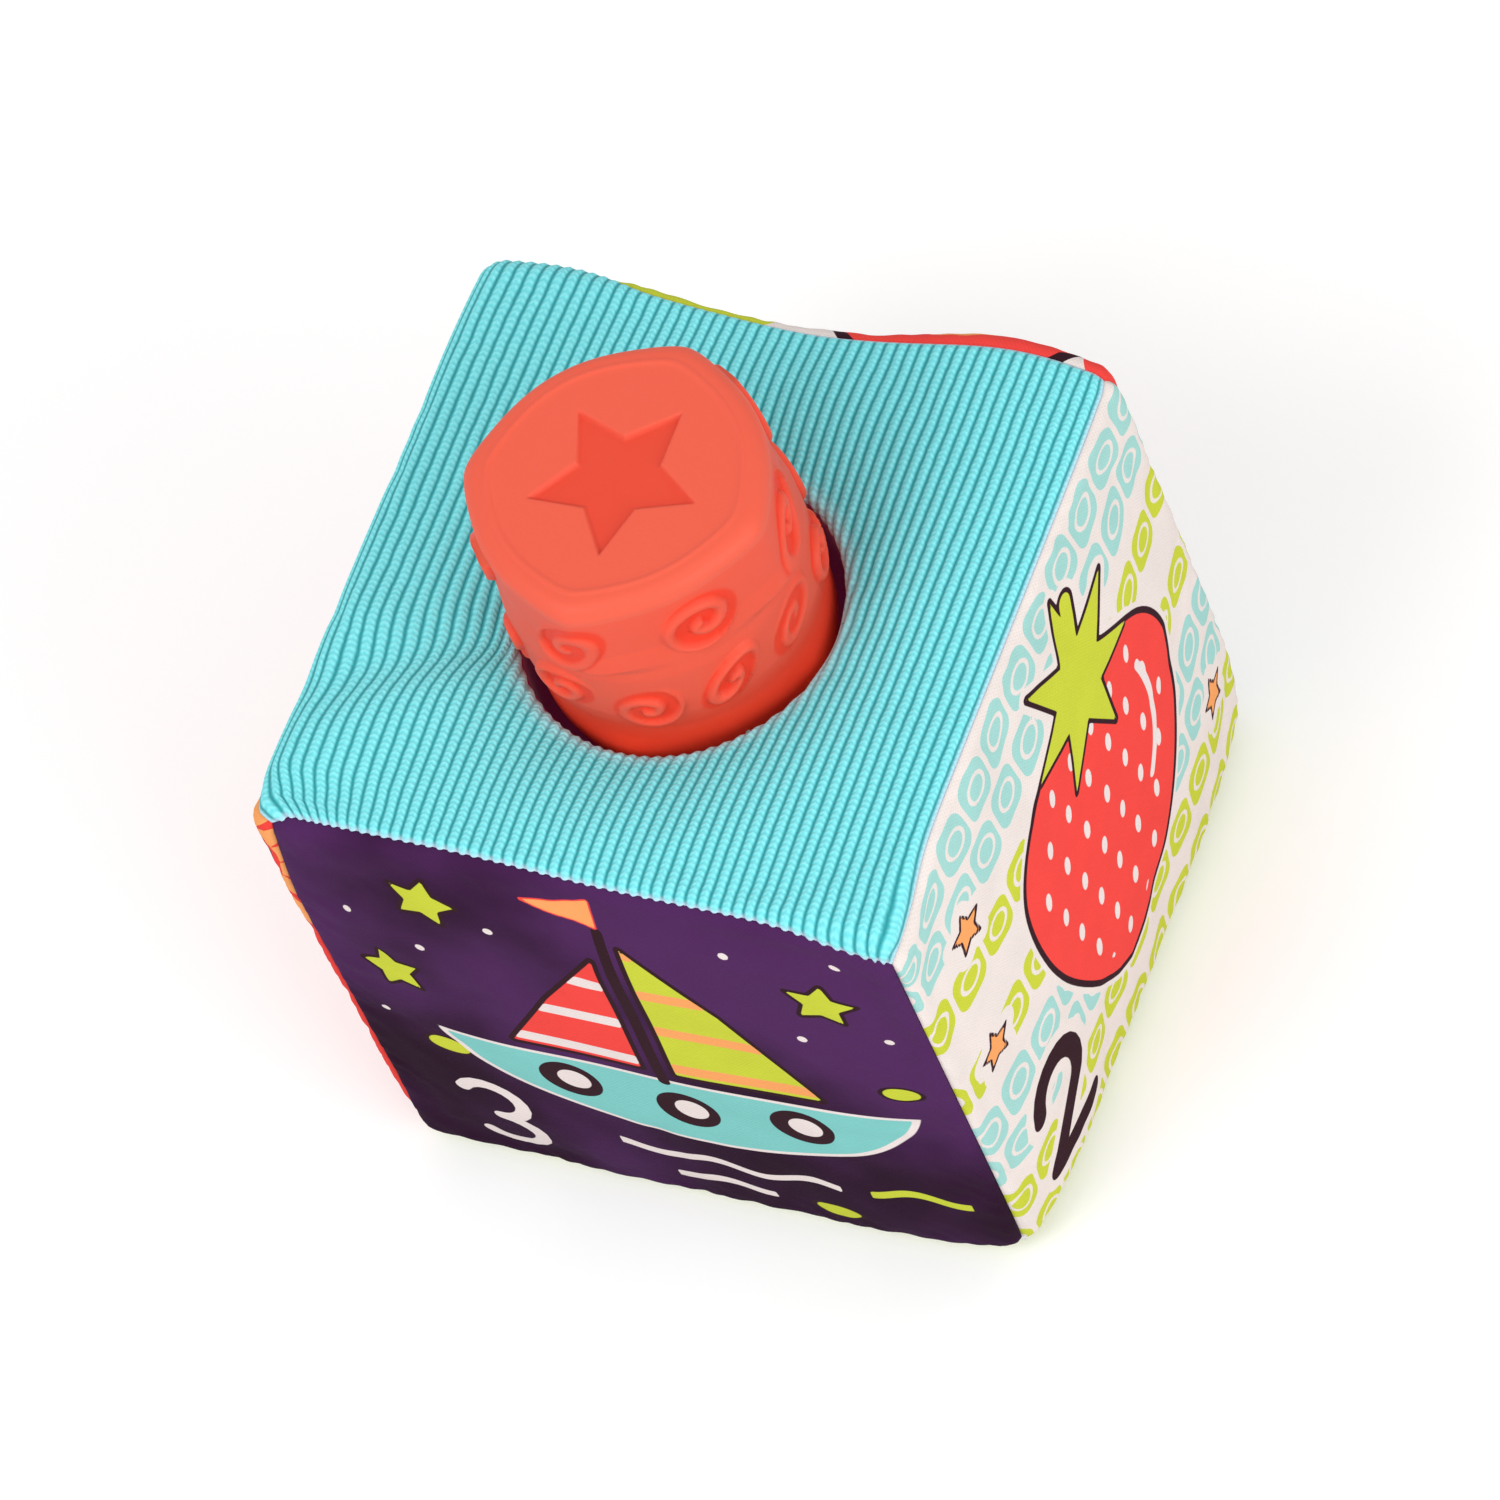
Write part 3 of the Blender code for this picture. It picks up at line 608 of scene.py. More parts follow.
def left_print(x, y):
    sun = disc(x, y, 44, 44, 0)
    to_ray = np.abs((np.arctan2(y - 44, x - 44) / tau * 18) % 1 - 0.5) * tau * sun / 18
    rays = np.maximum.reduce([to_ray - 2.6, 16 - sun, sun - 34])
    spots = discs(x, y, ((-50, 44), (-50, -8), (18, -30), (46, -14), (-44, -38), (-3, 49)), 5)
    balloon = both(oval(x, y, -18, 12, 22, 26), polygon(x, y, [(-18, -12), (-22, -19), (-14, -19)]))
    string = line(x, y, [(-18, -18), (-21, -24), (-16, -31), (-20, -38), (-18, -44)], 1.6)
    bands = np.maximum(balloon, np.abs(np.abs(x + 18) - 11) - 2.4)
    return [
        (BLACK_INK, both(balloon - 1.3, string)),
        (ORANGE_INK, both(sun - 13, rays, spots)),
        (TEAL_INK, balloon),
        (LIME_INK, bands),
        (CREAM_INK, both(sun - 8, spots + 2.4, line(x, y, arc(-20, 14, 17, 100, 150), 2))),
        (BLACK_INK, both(edge(sun - 13, 2.0), wave(x, y, -52, -60, 60))),
    ]


def bottom_print(x, y):
    px, py = np.round(x / 16) * 16, np.round(y / 16) * 16
    return [(CREAM_INK, disc(x, y, px, py, 2.2)), (TEAL_INK, disc(x, y, px, py, 1.1))]


# Each panel: its print, its ground, its slot and the cells of its grid each way
PRINTS = {
    "front_panel": (front_print, PURPLE_CLOTH, "front_print", 200),
    "right_panel": (right_print, CREAM_CLOTH, "right_print", 200),
    "back_panel": (back_print, CREAM_CLOTH, "back_print", 150),
    "left_panel": (left_print, RED_CLOTH, "left_print", 160),
    "bottom_panel": (bottom_print, LIME_CLOTH, "bottom_fabric", 120),
}
print({face: len(draw(np.zeros(1), np.zeros(1))) for face, (draw, *_) in PRINTS.items()}, "inks")

# %% [markdown]
# ## Effects that several materials share
#
# Node trees are easier to read as functions. Small helpers make one node each, and an effect that
# more than one cloth needs becomes a node group: the weave of the cloth, and the laying of one ink.

# %% Helpers for node trees
def join(tree, node, name, value):
    """Feeds a socket of a node, with a link or with a plain value."""
    if isinstance(value, bpy.types.NodeSocket):
        tree.links.new(value, node.inputs[name])
    elif value is not None:
        node.inputs[name].default_value = value


def calc(tree, operation, a, b=None, c=None):
    """One Math node."""
    node = tree.nodes.new("ShaderNodeMath")
    node.operation = operation
    for place, value in enumerate((a, b, c)):
        join(tree, node, place, value)
    return node.outputs[0]


def scaled(tree, value, factor, plus=0.0):
    """value times factor plus another value."""
    return calc(tree, "MULTIPLY_ADD", value, factor, plus)


def blend(tree, factor, first, second, way="MIX"):
    """One colour Mix node."""
    node = tree.nodes.new("ShaderNodeMix")
    node.data_type, node.blend_type = "RGBA", way
    colours = [(*v, 1) if isinstance(v, tuple) else v for v in (first, second)]
    for place, value in zip((0, 6, 7), (factor, *colours)):
        join(tree, node, place, value)
    return node.outputs[2]


def soft_step(tree, value, low, high):
    """Map Range with a smooth step: 0 at low and 1 at high."""
    node = tree.nodes.new("ShaderNodeMapRange")
    node.interpolation_type = "SMOOTHSTEP"
    for name, number in (("Value", value), ("From Min", low), ("From Max", high)):
        join(tree, node, name, number)
    return node.outputs[0]


def read(tree, name, output="Fac"):
    """An attribute of the mesh."""
    node = tree.nodes.new("ShaderNodeAttribute")
    node.attribute_name = name
    return node.outputs[output]


def parts_of(tree, vector):
    """The x, y and z of a vector."""
    node = tree.nodes.new("ShaderNodeSeparateXYZ")
    join(tree, node, 0, vector)
    return node.outputs


def noise(tree, vector, scale, detail=2.0):
    """Noise at a scale, on the given vector."""
    node = tree.nodes.new("ShaderNodeTexNoise")
    for name, value in (("Vector", vector), ("Scale", scale), ("Detail", detail)):
        join(tree, node, name, value)
    return node.outputs["Fac"]


def object_place(tree):
    return tree.nodes.new("ShaderNodeTexCoord").outputs["Object"]


def new_group(name, inputs, outputs):
    """An empty node group with its named sockets, and its input and output nodes."""
    group = bpy.data.node_groups.new(name, "ShaderNodeTree")
    for direction, sockets in (("INPUT", inputs), ("OUTPUT", outputs)):
        for label, kind in sockets.items():
            group.interface.new_socket(label, in_out=direction, socket_type="NodeSocket" + kind)
    return group, group.nodes.new("NodeGroupInput").outputs, group.nodes.new("NodeGroupOutput")


def use_group(tree, group, **values):
    """A group placed in a material, its inputs filled by name."""
    node = tree.nodes.new("ShaderNodeGroup")
    node.node_tree = group
    for name, value in values.items():
        join(tree, node, name, (*value, 1) if isinstance(value, tuple) else value)
    return node.outputs


def new_material(name, colour, roughness, **sockets):
    """A Principled material. Values that are the same all over are set on its own sockets."""
    material = bpy.data.materials.new(name)
    material.use_nodes = True
    material.diffuse_color = (*colour, 1)
    shader = material.node_tree.nodes["Principled BSDF"]
    shader.inputs["Base Color"].default_value = (*colour, 1)
    shader.inputs["Roughness"].default_value = roughness
    for label, value in sockets.items():
        shader.inputs[label.replace("_", " ")].default_value = value
    return material, material.node_tree, shader


def bump(tree, shader, height, distance, strength=1.0):
    """Bump from a height between 0 and 1, `distance` metres tall."""
    node = tree.nodes.new("ShaderNodeBump")
    for name, value in (("Distance", distance), ("Strength", strength), ("Height", height)):
        join(tree, node, name, value)
    join(tree, shader, "Normal", node.outputs[0])


# %% [markdown]
# The printed cloth is a fine smooth weave. Close up, threads cross over and under each other,
# a little over two to a millimetre, and loose fibres blur them. The group takes the place on the
# cloth and gives a height for bump and a painted shade that darkens the gaps between threads. On
# the dark purple cloth a painted shade makes the ground darker and redder in noisy patches, more
# towards the bottom and most of all low on the left.

# %% The weave and ink groups
THREAD = 0.42 * MM
INK_BLUR = 0.09


def make_weave():
    group, given, result = new_group(
        "cloth weave", {"Place": "Vector", "Thread": "Float"}, {"Height": "Float", "Shade": "Float"}
    )
    counts = [calc(group, "DIVIDE", part, given["Thread"]) for part in parts_of(group, given["Place"])[:2]]
    crossed = scaled(group, *[calc(group, "SINE", scaled(group, count, pi)) for count in counts])
    fibres = calc(group, "SUBTRACT", noise(group, given["Place"], 2600.0, 3.0), 0.5)
    height = scaled(group, fibres, 0.9, scaled(group, crossed, 0.3, 0.5))
    join(group, result, "Height", height)
    # Shade is a painted shade: darker where the height is low, in the gaps between threads.
    join(group, result, "Shade", scaled(group, height, 0.16, 0.90))
    return group


def make_ink():
    group, given, result = new_group(
        "ink layer", {"Under": "Color", "Ink": "Color", "Field": "Float"}, {"Colour": "Color"}
    )
    inked = soft_step(group, given["Field"], INK_BLUR, -INK_BLUR)
    join(group, result, "Colour", blend(group, inked, given["Under"], given["Ink"]))
    return group


WEAVE, INK = make_weave(), make_ink()


def printed_cloth(face, ground, inks):
    """Ground cloth with its inks laid one over the other, and the weave through all of them."""
    material, tree, shader = new_material(face, ground, 0.9, Specular_IOR_Level=0.12)
    colour = ground
    place = read(tree, "place", "Vector")
    if ground == PURPLE_CLOTH:
        across, up, _ = parts_of(tree, place)
        # Painted shade: the purple ground mixes towards a darker plum lower down and to the left, broken
        # up by noise.
        painted_low_shade = scaled(tree, up, -2.4, noise(tree, object_place(tree), 18.0, 3.0))
        painted_low_shade = scaled(tree, across, -1.2, painted_low_shade)
        colour = blend(tree, soft_step(tree, painted_low_shade, 0.36, 0.70), ground, PURPLE_PAINTED_SHADE)
    for number, ink in enumerate(inks):
        field = read(tree, f"ink_{number}")
        colour = use_group(tree, INK, Under=colour, Ink=ink, Field=field)["Colour"]
    woven = use_group(tree, WEAVE, Place=place, Thread=THREAD)
    uneven = noise(tree, object_place(tree), 90.0)
    # The weave's painted shade between threads, times a random unevenness of tone.
    shade = scaled(tree, woven["Shade"], scaled(tree, uneven, 0.14, 0.94))
    grey = tree.nodes.new("ShaderNodeCombineColor")
    for channel in range(3):
        join(tree, grey, channel, shade)
    inked = blend(tree, 1.0, colour, grey.outputs[0], "MULTIPLY")
    join(tree, shader, "Base Color", inked)
    bump(tree, shader, woven["Height"], 0.06 * MM)
    return material


# %% [markdown]
# ## Five printed panels
#
# Each printed panel is a fine grid of cloth lengths from seam to seam, its inner layer 1.3 mm
# further in. The print is drawn on the same lengths, so it follows the bulge of the cloth.

# %% Build the printed panels
CLOTH_THICKNESS = 1.3 * MM
SEAM_SLIT = 0.06 * MM


def on_cloth(s, t):
    """Lengths s and t as one vector for each point, the place on the cloth."""
    return np.stack([s.ravel(), t.ravel(), np.zeros(s.size)], axis=-1)


def printed_panel(face):
    draw, ground, slot, cells = PRINTS[face]
    grid = zip(face_grid(face, cells), reach_of(face))
    s, t = (length * (1 - SEAM_SLIT / end) for length, end in grid)
    inks = draw(s.ravel() / MM, t.ravel() / MM)
    outer, inner = (covered(face, s, t, depth).reshape(-1, 3) for depth in (0, CLOTH_THICKNESS))
    quads = quads_of(np.arange(s.size).reshape(s.shape))
    fields = {f"ink_{number}": field for number, (_, field) in enumerate(inks)}
    mesh = shell(face, outer, inner, quads, place=on_cloth(s, t), **fields)
    cloth = printed_cloth(face, ground, [ink for ink, _ in inks])
    piece = new_piece(f"{face}_cloth", mesh, COVER, slot, face, material=cloth)


for face in PRINTS:
    printed_panel(face)

# %% [markdown]
# ## The rib-knit top
#
# The knit's ribs run from front to back, 2.25 mm apart, and show in the outline of the real
# block, so they are geometry: the grid has six columns to a rib. A square grid with a round hole
# needs care. Every column that meets the hole is split into a front and a back half that end on
# the circle, so the ribs stay straight and the edge stays round. The cloth nearest to the hole
# curls over the hem and a little way down, and a shallow fold crosses the ribs on the left.

# %% Form of the knit
RIBS, COLUMNS_A_RIB, HALF_ROWS = 56, 6, 62
RIB_HEIGHT = 0.34 * MM
HEM_RADIUS, HEM_DROP = 1.6 * MM, 0.9 * MM
KNIT_THICKNESS = 1.2 * MM
FOLD_DEPTH, FOLD_SHIFT, FOLD_WIDTH = 1.7 * MM, 1.3 * MM, 7.5 * MM
FOLD_AT, FOLD_SLOPE = (-30 * MM, -19 * MM), 0.645
GATHERS, GATHER_DEPTH, GATHER_REACH = 19, 0.28 * MM, 7 * MM
TOOTH_LENGTH, TOOTH_HEIGHT = 0.30 * MM, 0.25 * MM
HEM_PALE, SEAM_PALE = 4.5 * MM, 1.1 * MM
S_END, T_END = reach_of("top_panel")
RIB_PITCH = 2 * S_END / RIBS
COLUMN = RIB_PITCH / COLUMNS_A_RIB
HOLE = round((OPENING_RADIUS + HEM_RADIUS * (1 - pi / 2) - HEM_DROP) / COLUMN) * COLUMN


def knit_surface(s, t):
    """Places of the knit's outside, before its ribs, for cloth lengths s and t.

    Round the opening the cloth's distance from its middle becomes a place on the hem: a quarter
    circle, then straight down. Outside it the knit dips by a parabola. Gathers are sine waves round
    the opening that fade outwards. The fold is a valley with a ridge before it, both bells across a
    slanting line left of the opening, and it carries the ribs sideways with it.
    """
    x, y = s, t - OPENING_Y
    far, turn = np.hypot(x, y), np.arctan2(y, x)
    over = np.clip(OPENING_RADIUS + HEM_RADIUS - far, 0, None)
    bend = np.minimum(over / HEM_RADIUS, pi / 2)
    radius = np.where(over > 0, OPENING_RADIUS + HEM_RADIUS * (1 - np.sin(bend)), far)
    drop = HEM_RADIUS * (1 - np.cos(bend)) + np.clip(over - HEM_RADIUS * pi / 2, 0, None)
    out = np.clip((radius - OPENING_RADIUS) / DIP_SPREAD, 0, 1)
    drop = drop + DIP_DEPTH * (1 - out) ** 2
    gather = GATHER_DEPTH * np.exp(-np.clip(far - OPENING_RADIUS, 0, None) / GATHER_REACH)
    drop = drop + gather * np.sin(GATHERS * turn + 2 * np.sin(2 * turn)) * (over == 0)
    across = t - FOLD_AT[1] - FOLD_SLOPE * (s - FOLD_AT[0])
    strength = ease((-s - 16 * MM) / (20 * MM)) * ease((S_END + s) / (12 * MM))
    strength = strength * ease((T_END - np.abs(t)) / (9 * MM))
    valley = bell(across - 5 * MM, FOLD_WIDTH)
    ridge = bell(across + 9 * MM, 1.3 * FOLD_WIDTH)
    drop = drop + FOLD_DEPTH * (valley - 0.55 * ridge) * strength
    share = np.where(far > 0, radius / np.maximum(far, MM / 100), 1)
    points = covered("top_panel", x * share, y * share + OPENING_Y)
    points[..., 2] -= drop
    points[..., 0] += FOLD_SHIFT * valley * strength * ease((far - OPENING_RADIUS) / (6 * MM))
    return points


def normals_of(surface, s, t, step=0.05 * MM):
    """Outward directions: the cross product of the surface's slopes along s and t."""
    along_s = surface(s + step, t) - surface(s - step, t)
    along_t = surface(s, t + step) - surface(s, t - step)
    return unit(np.cross(along_s, along_t))


def knit_grid():
    """Cloth lengths and point numbers: the front halves of all columns, then the back halves."""
    columns = np.linspace(-S_END, S_END, RIBS * COLUMNS_A_RIB + 1)
    slit = np.sqrt(np.clip(HOLE**2 - columns**2, 0, None))
    slit[slit < RIB_PITCH / 100] = 0
    share = np.linspace(0, 1, HALF_ROWS)
    share = share - 0.65 * np.sin(tau * share) / tau
    front = -T_END + (OPENING_Y - slit + T_END)[:, None] * share
    back = (OPENING_Y + slit)[:, None] + (T_END - OPENING_Y - slit)[:, None] * share
    index = np.arange(2 * front.size).reshape(2, *front.shape)
    index[1, slit == 0, 0] = index[0, slit == 0, -1]
    s = np.broadcast_to(columns[:, None], front.shape)
    return np.stack([s, s]), np.stack([front, back]), index


def build_knit():
    s, t, index = knit_grid()
    s, t = s * (1 - SEAM_SLIT / S_END), t * (1 - SEAM_SLIT / T_END)
    base, normal = knit_surface(s, t), normals_of(knit_surface, s, t)
    wave_along = np.cos(tau * (s + S_END) / RIB_PITCH)
    # Each rib ends in a small round tooth that laps over the front panel's edge
    near = bell(t + T_END, 1.3 * MM) * ease((S_END - np.abs(s)) / (2 * MM))
    tooth = near * np.clip(wave_along, 0, 1) ** 0.5
    rib = RIB_HEIGHT * (1 - np.clip(-wave_along * 0.5 + 0.5, 0, 1) ** 0.7)
    to_seam = np.minimum(S_END - np.abs(s), T_END - np.abs(t))
    rib = (rib - RIB_HEIGHT) * ease(to_seam / (2 * MM))
    lapped = knit_surface(s, t - TOOTH_LENGTH * tooth)
    outer = (lapped + normal * (rib + TOOTH_HEIGHT * tooth)[..., None]).reshape(-1, 3)
    inner = (base - normal * KNIT_THICKNESS).reshape(-1, 3)
    quads = np.vstack([quads_of(half) for half in index])
    # How near the hem a point is, for a paler colour there.
    near_hem_share = np.clip(1.25 - (np.hypot(s, t - OPENING_Y) - HOLE) / HEM_PALE, 0, 1).ravel()
    last = np.clip(1 - to_seam / SEAM_PALE, 0, 1).ravel()
    mesh = shell("rib_knit", outer, inner, quads, place=on_cloth(s, t), hem=near_hem_share, seam=last)
    piece = new_piece("rib_knit_top", mesh, COVER, "rib_knit", "top_panel")
    return piece


knit = build_knit()
print("a rib every", round(RIB_PITCH / MM, 2), "mm, cut hole", round(2 * HOLE / MM, 1), "mm across")

# %% [markdown]
# The knit's colour is light teal on the ribs, and a dark teal painted shade fills the grooves. Each
# rib is a column of V stitches, 1.15 mm apart: the material finds how far across a rib and how far
# up a stitch it is, tilts the stitch rows by the distance from the rib's middle, and gets two
# slanting legs. The legs get a painted highlight of a lighter teal, and flecks of it about as small
# as a stitch keep the rows from looking like beads. Near the hem and along the seams the knit is
# mixed towards paler colours.

# %% Material of the knit
# The lighter teal is a painted highlight on the stitch legs and the flecks' colour; the darkest teal is
# painted shade in the grooves.
KNIT_HIGHLIGHT_AND_FLECK, KNIT_MID = (0.280, 0.885, 0.930), (0.150, 0.680, 0.730)
KNIT_GROOVE_SHADE = (0.026, 0.340, 0.370)
KNIT_PALE, KNIT_END = (0.600, 0.760, 0.820), (0.640, 0.700, 0.860)
STITCH = 1.15 * MM


def knit_material():
    cloth = dict(Sheen_Weight=0.15, Specular_IOR_Level=0.2)
    material, tree, shader = new_material("rib knit", KNIT_MID, 0.9, **cloth)
    place = read(tree, "place", "Vector")
    x, y, _ = parts_of(tree, place)
    loose = scaled(tree, noise(tree, place, 420.0), 0.5, -0.25)
    ribs = scaled(tree, x, 1 / RIB_PITCH, scaled(tree, loose, 0.3, RIBS / 2 + 0.5))
    across = calc(tree, "SUBTRACT", calc(tree, "FRACT", ribs), 0.5)
    off = scaled(tree, calc(tree, "ABSOLUTE", across), 2.0)
    row = scaled(tree, off, 0.45, scaled(tree, y, 1 / STITCH, loose))
    leg = scaled(tree, calc(tree, "SINE", scaled(tree, row, tau)), 0.5, 0.5)
    left_over = calc(tree, "SUBTRACT", 1.0, calc(tree, "POWER", off, 2.0))
    round_rib = calc(tree, "SQRT", calc(tree, "MAXIMUM", left_over, 0.0))
    middle_slit = soft_step(tree, off, 0.0, 0.22)
    stitch = scaled(tree, leg, scaled(tree, middle_slit, 0.35, 0.65))
    height = scaled(tree, round_rib, scaled(tree, stitch, 0.42, 0.58))
    height = scaled(tree, noise(tree, place, 3000.0, 3.0), 0.25, height)
    fleck = calc(tree, "SUBTRACT", noise(tree, place, 1300.0), 0.31)
    # Painted highlight: the stitch legs mix towards the lighter teal; random flecks use it too.
    colour = blend(tree, scaled(tree, stitch, 0.6, fleck), KNIT_MID, KNIT_HIGHLIGHT_AND_FLECK)
    # Painted shade: the grooves between ribs turn dark teal.
    colour = blend(tree, soft_step(tree, off, 0.45, 0.95), colour, KNIT_GROOVE_SHADE)
    # Paler grey-blue near the hem and lavender along the seams.
    for layer, share, paler in (("hem", 0.6, KNIT_PALE), ("seam", 0.8, KNIT_END)):
        colour = blend(tree, scaled(tree, read(tree, layer), share), colour, paler)
    join(tree, shader, "Base Color", colour)
    bump(tree, shader, height, 0.35 * MM, 0.8)
    return material


knit.data.materials.append(knit_material())

# %% [markdown]
# ## The pocket
#
# Under the hem a thin dark plum lining forms the pocket that the rubber block stands in. It shows
# only in the narrow gap round the block. It is a sleeve with soft upright folds and a round floor,
# and a gathered elastic tape lies hidden behind the hem. Knit, fibre and lining are thin enough to
# let a little daylight into the pocket. Light passing through three layers would render slowly and
# noisily, so the lining has a faint even glow of its own instead.

# %% Lining, floor and elastic
LINING_CLOTH = (0.220, 0.016, 0.060)
LINING_GLOW = (0.032, 0.002, 0.009, 1)
TAPE_CLOTH = (0.78, 0.77, 0.73)
TAPE_THICKNESS, TAPE_INSET = 1 * MM, 1.45 * MM
FUZZ = 0.2
SLEEVE_INSIDE, SLEEVE_THICKNESS = 30.1 * MM, 0.8 * MM
FLOOR_ACROSS = 61.6 * MM
HEM_BOTTOM = TOP_HEIGHT + CROWNS["top_panel"] - DIP_DEPTH - HEM_RADIUS - HEM_DROP


def tube(radius, height, turn):
    """Places on a tube round the opening's axis, from whole arrays of radius, height and turn."""
    return np.stack([radius * np.cos(turn), OPENING_Y + radius * np.sin(turn), height], axis=-1)


def ring_index(rows, spokes):
    """Point numbers of a grid that closes round: rows run up and spokes run round."""
    index = np.arange(rows * spokes).reshape(rows, spokes).T
    return np.vstack([index, index[:1]])


def turns_of(rows, spokes):
    """Grids of row values and of turns, `spokes` of them evenly round a full circle."""
    return np.meshgrid(rows, np.arange(spokes) / spokes * tau, indexing="ij")


def sleeve(name, heights, radius, thickness, folds, spokes):
    """A closed tube: its inner side `radius` from the axis, pushed outwards by the folds' formula."""
    height, turn = turns_of(heights, spokes)
    low, high = heights[0], heights[-1]
    near = radius + folds(turn, (height - low) / (high - low))
    layers = [tube(r, height, turn).reshape(-1, 3) for r in (near + thickness, near)]
    place = np.stack([turn * radius, height, 0 * turn], axis=-1).reshape(-1, 3)
    return shell(name, *layers, quads_of(ring_index(*turn.shape)), place=place)


def plain_cloth(name, colour, thread, **sockets):
    """One-coloured cloth from the same weave."""
    sockets = dict(Sheen_Weight=0.1, Specular_IOR_Level=0.2, **sockets)
    material, tree, shader = new_material(name, colour, 0.9, **sockets)
    woven = use_group(tree, WEAVE, Place=read(tree, "place", "Vector"), Thread=thread)
    patchy = noise(tree, object_place(tree), 60.0)
    # The weave's painted shade between threads and random patches mix towards the darker colour.
    factor = scaled(tree, patchy, FUZZ, scaled(tree, woven["Shade"], 0.4))
    darker = tuple(0.6 * v for v in colour)
    join(tree, shader, "Base Color", blend(tree, factor, darker, colour))
    bump(tree, shader, woven["Height"], 0.1 * MM)
    return material


def upright_folds(turn, up):
    """Folds that stand outwards only: squared sines, deepest half way up."""
    return 0.35 * MM * np.sin(11 * turn + 0.8 * np.sin(3 * turn)) ** 2 * np.sin(pi * up)


def floor_disc(radius, low):
    """The pocket's floor: a polar grid with its middle closed, sagging by a parabola."""
    share, turn = turns_of(np.linspace(0.02, 1, 14), 144)
    layers = []
    for lift in (0, 0.9 * MM):
        rings = tube(share * radius, low + lift + 0.3 * MM * share**2, turn).reshape(-1, 3)
        layers.append(np.vstack([rings, [[0, OPENING_Y, low + lift]]]))
    index = ring_index(*share.shape)
    quads = np.vstack([quads_of(index), cap(index[:, 0], share.size)[:, ::-1]])
    return shell("pocket_floor", *layers, quads, place=layers[0])


def cap(ring, middle):
    """Four-sided faces from a middle point over two neighbouring spokes at a time."""
    return np.stack([np.full(len(ring) // 2, middle), ring[:-1:2], ring[1::2], ring[2::2]], axis=1)


glow = dict(Emission_Color=LINING_GLOW, Emission_Strength=1.0)
lining = plain_cloth("plum lining", LINING_CLOTH, 0.5 * MM, **glow)
floor_low, floor_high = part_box("pocket_floor")
heights = np.linspace(floor_high[2] + 0.3 * MM, HEM_BOTTOM, 60)
mesh = sleeve("pocket_sleeve", heights, SLEEVE_INSIDE, SLEEVE_THICKNESS, upright_folds, 144)
pocket = new_piece("pocket_lining", mesh, COVER, "lining", "pocket_sleeve", material=lining)
mesh = floor_disc(FLOOR_ACROSS / 2, floor_low[2])
floor_cloth = new_piece("pocket_floor_cloth", mesh, COVER, "lining", "pocket_floor", material=lining)

tape_low, tape_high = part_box("opening_elastic")


def gathers(turn, up):
    """Small even puckers of the tape: sine waves round it."""
    return 0.12 * MM * (1 + np.sin(60 * turn + 0.5 * np.sin(7 * turn)))


heights = np.linspace(tape_low[2], tape_high[2], 8)
mesh = sleeve("elastic", heights, tape_high[0] - TAPE_INSET, TAPE_THICKNESS, gathers, 360)
woven_tape = plain_cloth("elastic tape", TAPE_CLOTH, 0.7 * MM)
new_piece("elastic_tape", mesh, COVER, "elastic", "opening_elastic", material=woven_tape)
print("hem ends at", round(HEM_BOTTOM / MM, 1), "mm, tape at", round(tape_high[2] / MM, 1), "mm")

# %% [markdown]
# ## The filling
#
# Loose polyester fibre fills the cover round the pocket and under it. It can't be seen, so it is
# made simply: the CAD node's form is remeshed evenly and its skin pushed in here and there.

# %% Fibre filling
FIBRE_CELL = 2.6 * MM
FIBRE_WHITE, FIBRE_DARK, FIBRE_LIGHT = (0.88, 0.88, 0.86), (0.70, 0.70, 0.68), (0.93, 0.93, 0.91)


def fibre_mesh(name):
    """The node's form in even cells, each point moved in along its normal by overlapping sines."""
    source = add_object(name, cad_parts[name].data.copy())
    remesh = source.modifiers.new("even", "REMESH")
    remesh.mode, remesh.voxel_size = "VOXEL", FIBRE_CELL
    graph = bpy.context.evaluated_depsgraph_get()
    mesh = bpy.data.meshes.new_from_object(source.evaluated_get(graph), depsgraph=graph)
    bpy.data.objects.remove(source)
    mesh.materials.clear()
    points, normals = (vectors_of(mesh.vertices, key) for key in ("co", "normal"))
    x, y, z = (points / MM).T
    lumps = np.sin(x / 1.9 + np.sin(y / 3.1)) * np.sin(y / 2.3 + np.sin(z / 2.7))
    lumps = lumps * np.sin(z / 2.1 + x / 5)
    points = points + normals * (0.45 * MM * (lumps - 1))[:, None]
    mesh.vertices.foreach_set("co", points.ravel())
    mesh.update()
    return mesh


def fibre_material():
    material, tree, shader = new_material("polyester fibre", FIBRE_WHITE, 0.95, Sheen_Weight=0.3)
    strands = noise(tree, object_place(tree), 1500.0, 4.0)
    join(tree, shader, "Base Color", blend(tree, strands, FIBRE_DARK, FIBRE_LIGHT))
    bump(tree, shader, strands, 0.6 * MM)
    return material


fibre = fibre_material()
for node in ("upper_filling", "base_filling"):
    piece = new_piece(f"{node}_fibre", fibre_mesh(node), COVER, "filling", node, material=fibre)

# %% [markdown]
# ## The rubber block
#
# The rubber block is a moulded squeeze toy: a short round body with four soft corners, a star
# sunk into its flat top and a band of raised spirals round its side. It is one closed surface of
# revolution. A profile runs from the middle of the hollow's top, down the inner wall, round the
# foot and up the outside to the middle of the top. Then formulas move its points.

# %% Profile of the rubber block
BLOCK_BASE = 106 * MM
HOLLOW_TOP, RELIEF_TOP, BLOCK_TOP = 53.3, 52, 56
SPOKES = 400


def straight(start, stop, count):
    """Even points from start up to, and without, stop."""
    return np.linspace(start, stop, count, endpoint=False)


def bend(middle, radius, start, stop, count):
    """Points on an arc, angles in degrees, without its last one."""
    turns = np.radians(straight(start, stop, count))
    return np.array(middle) + radius * np.stack([np.cos(turns), np.sin(turns)], axis=-1)


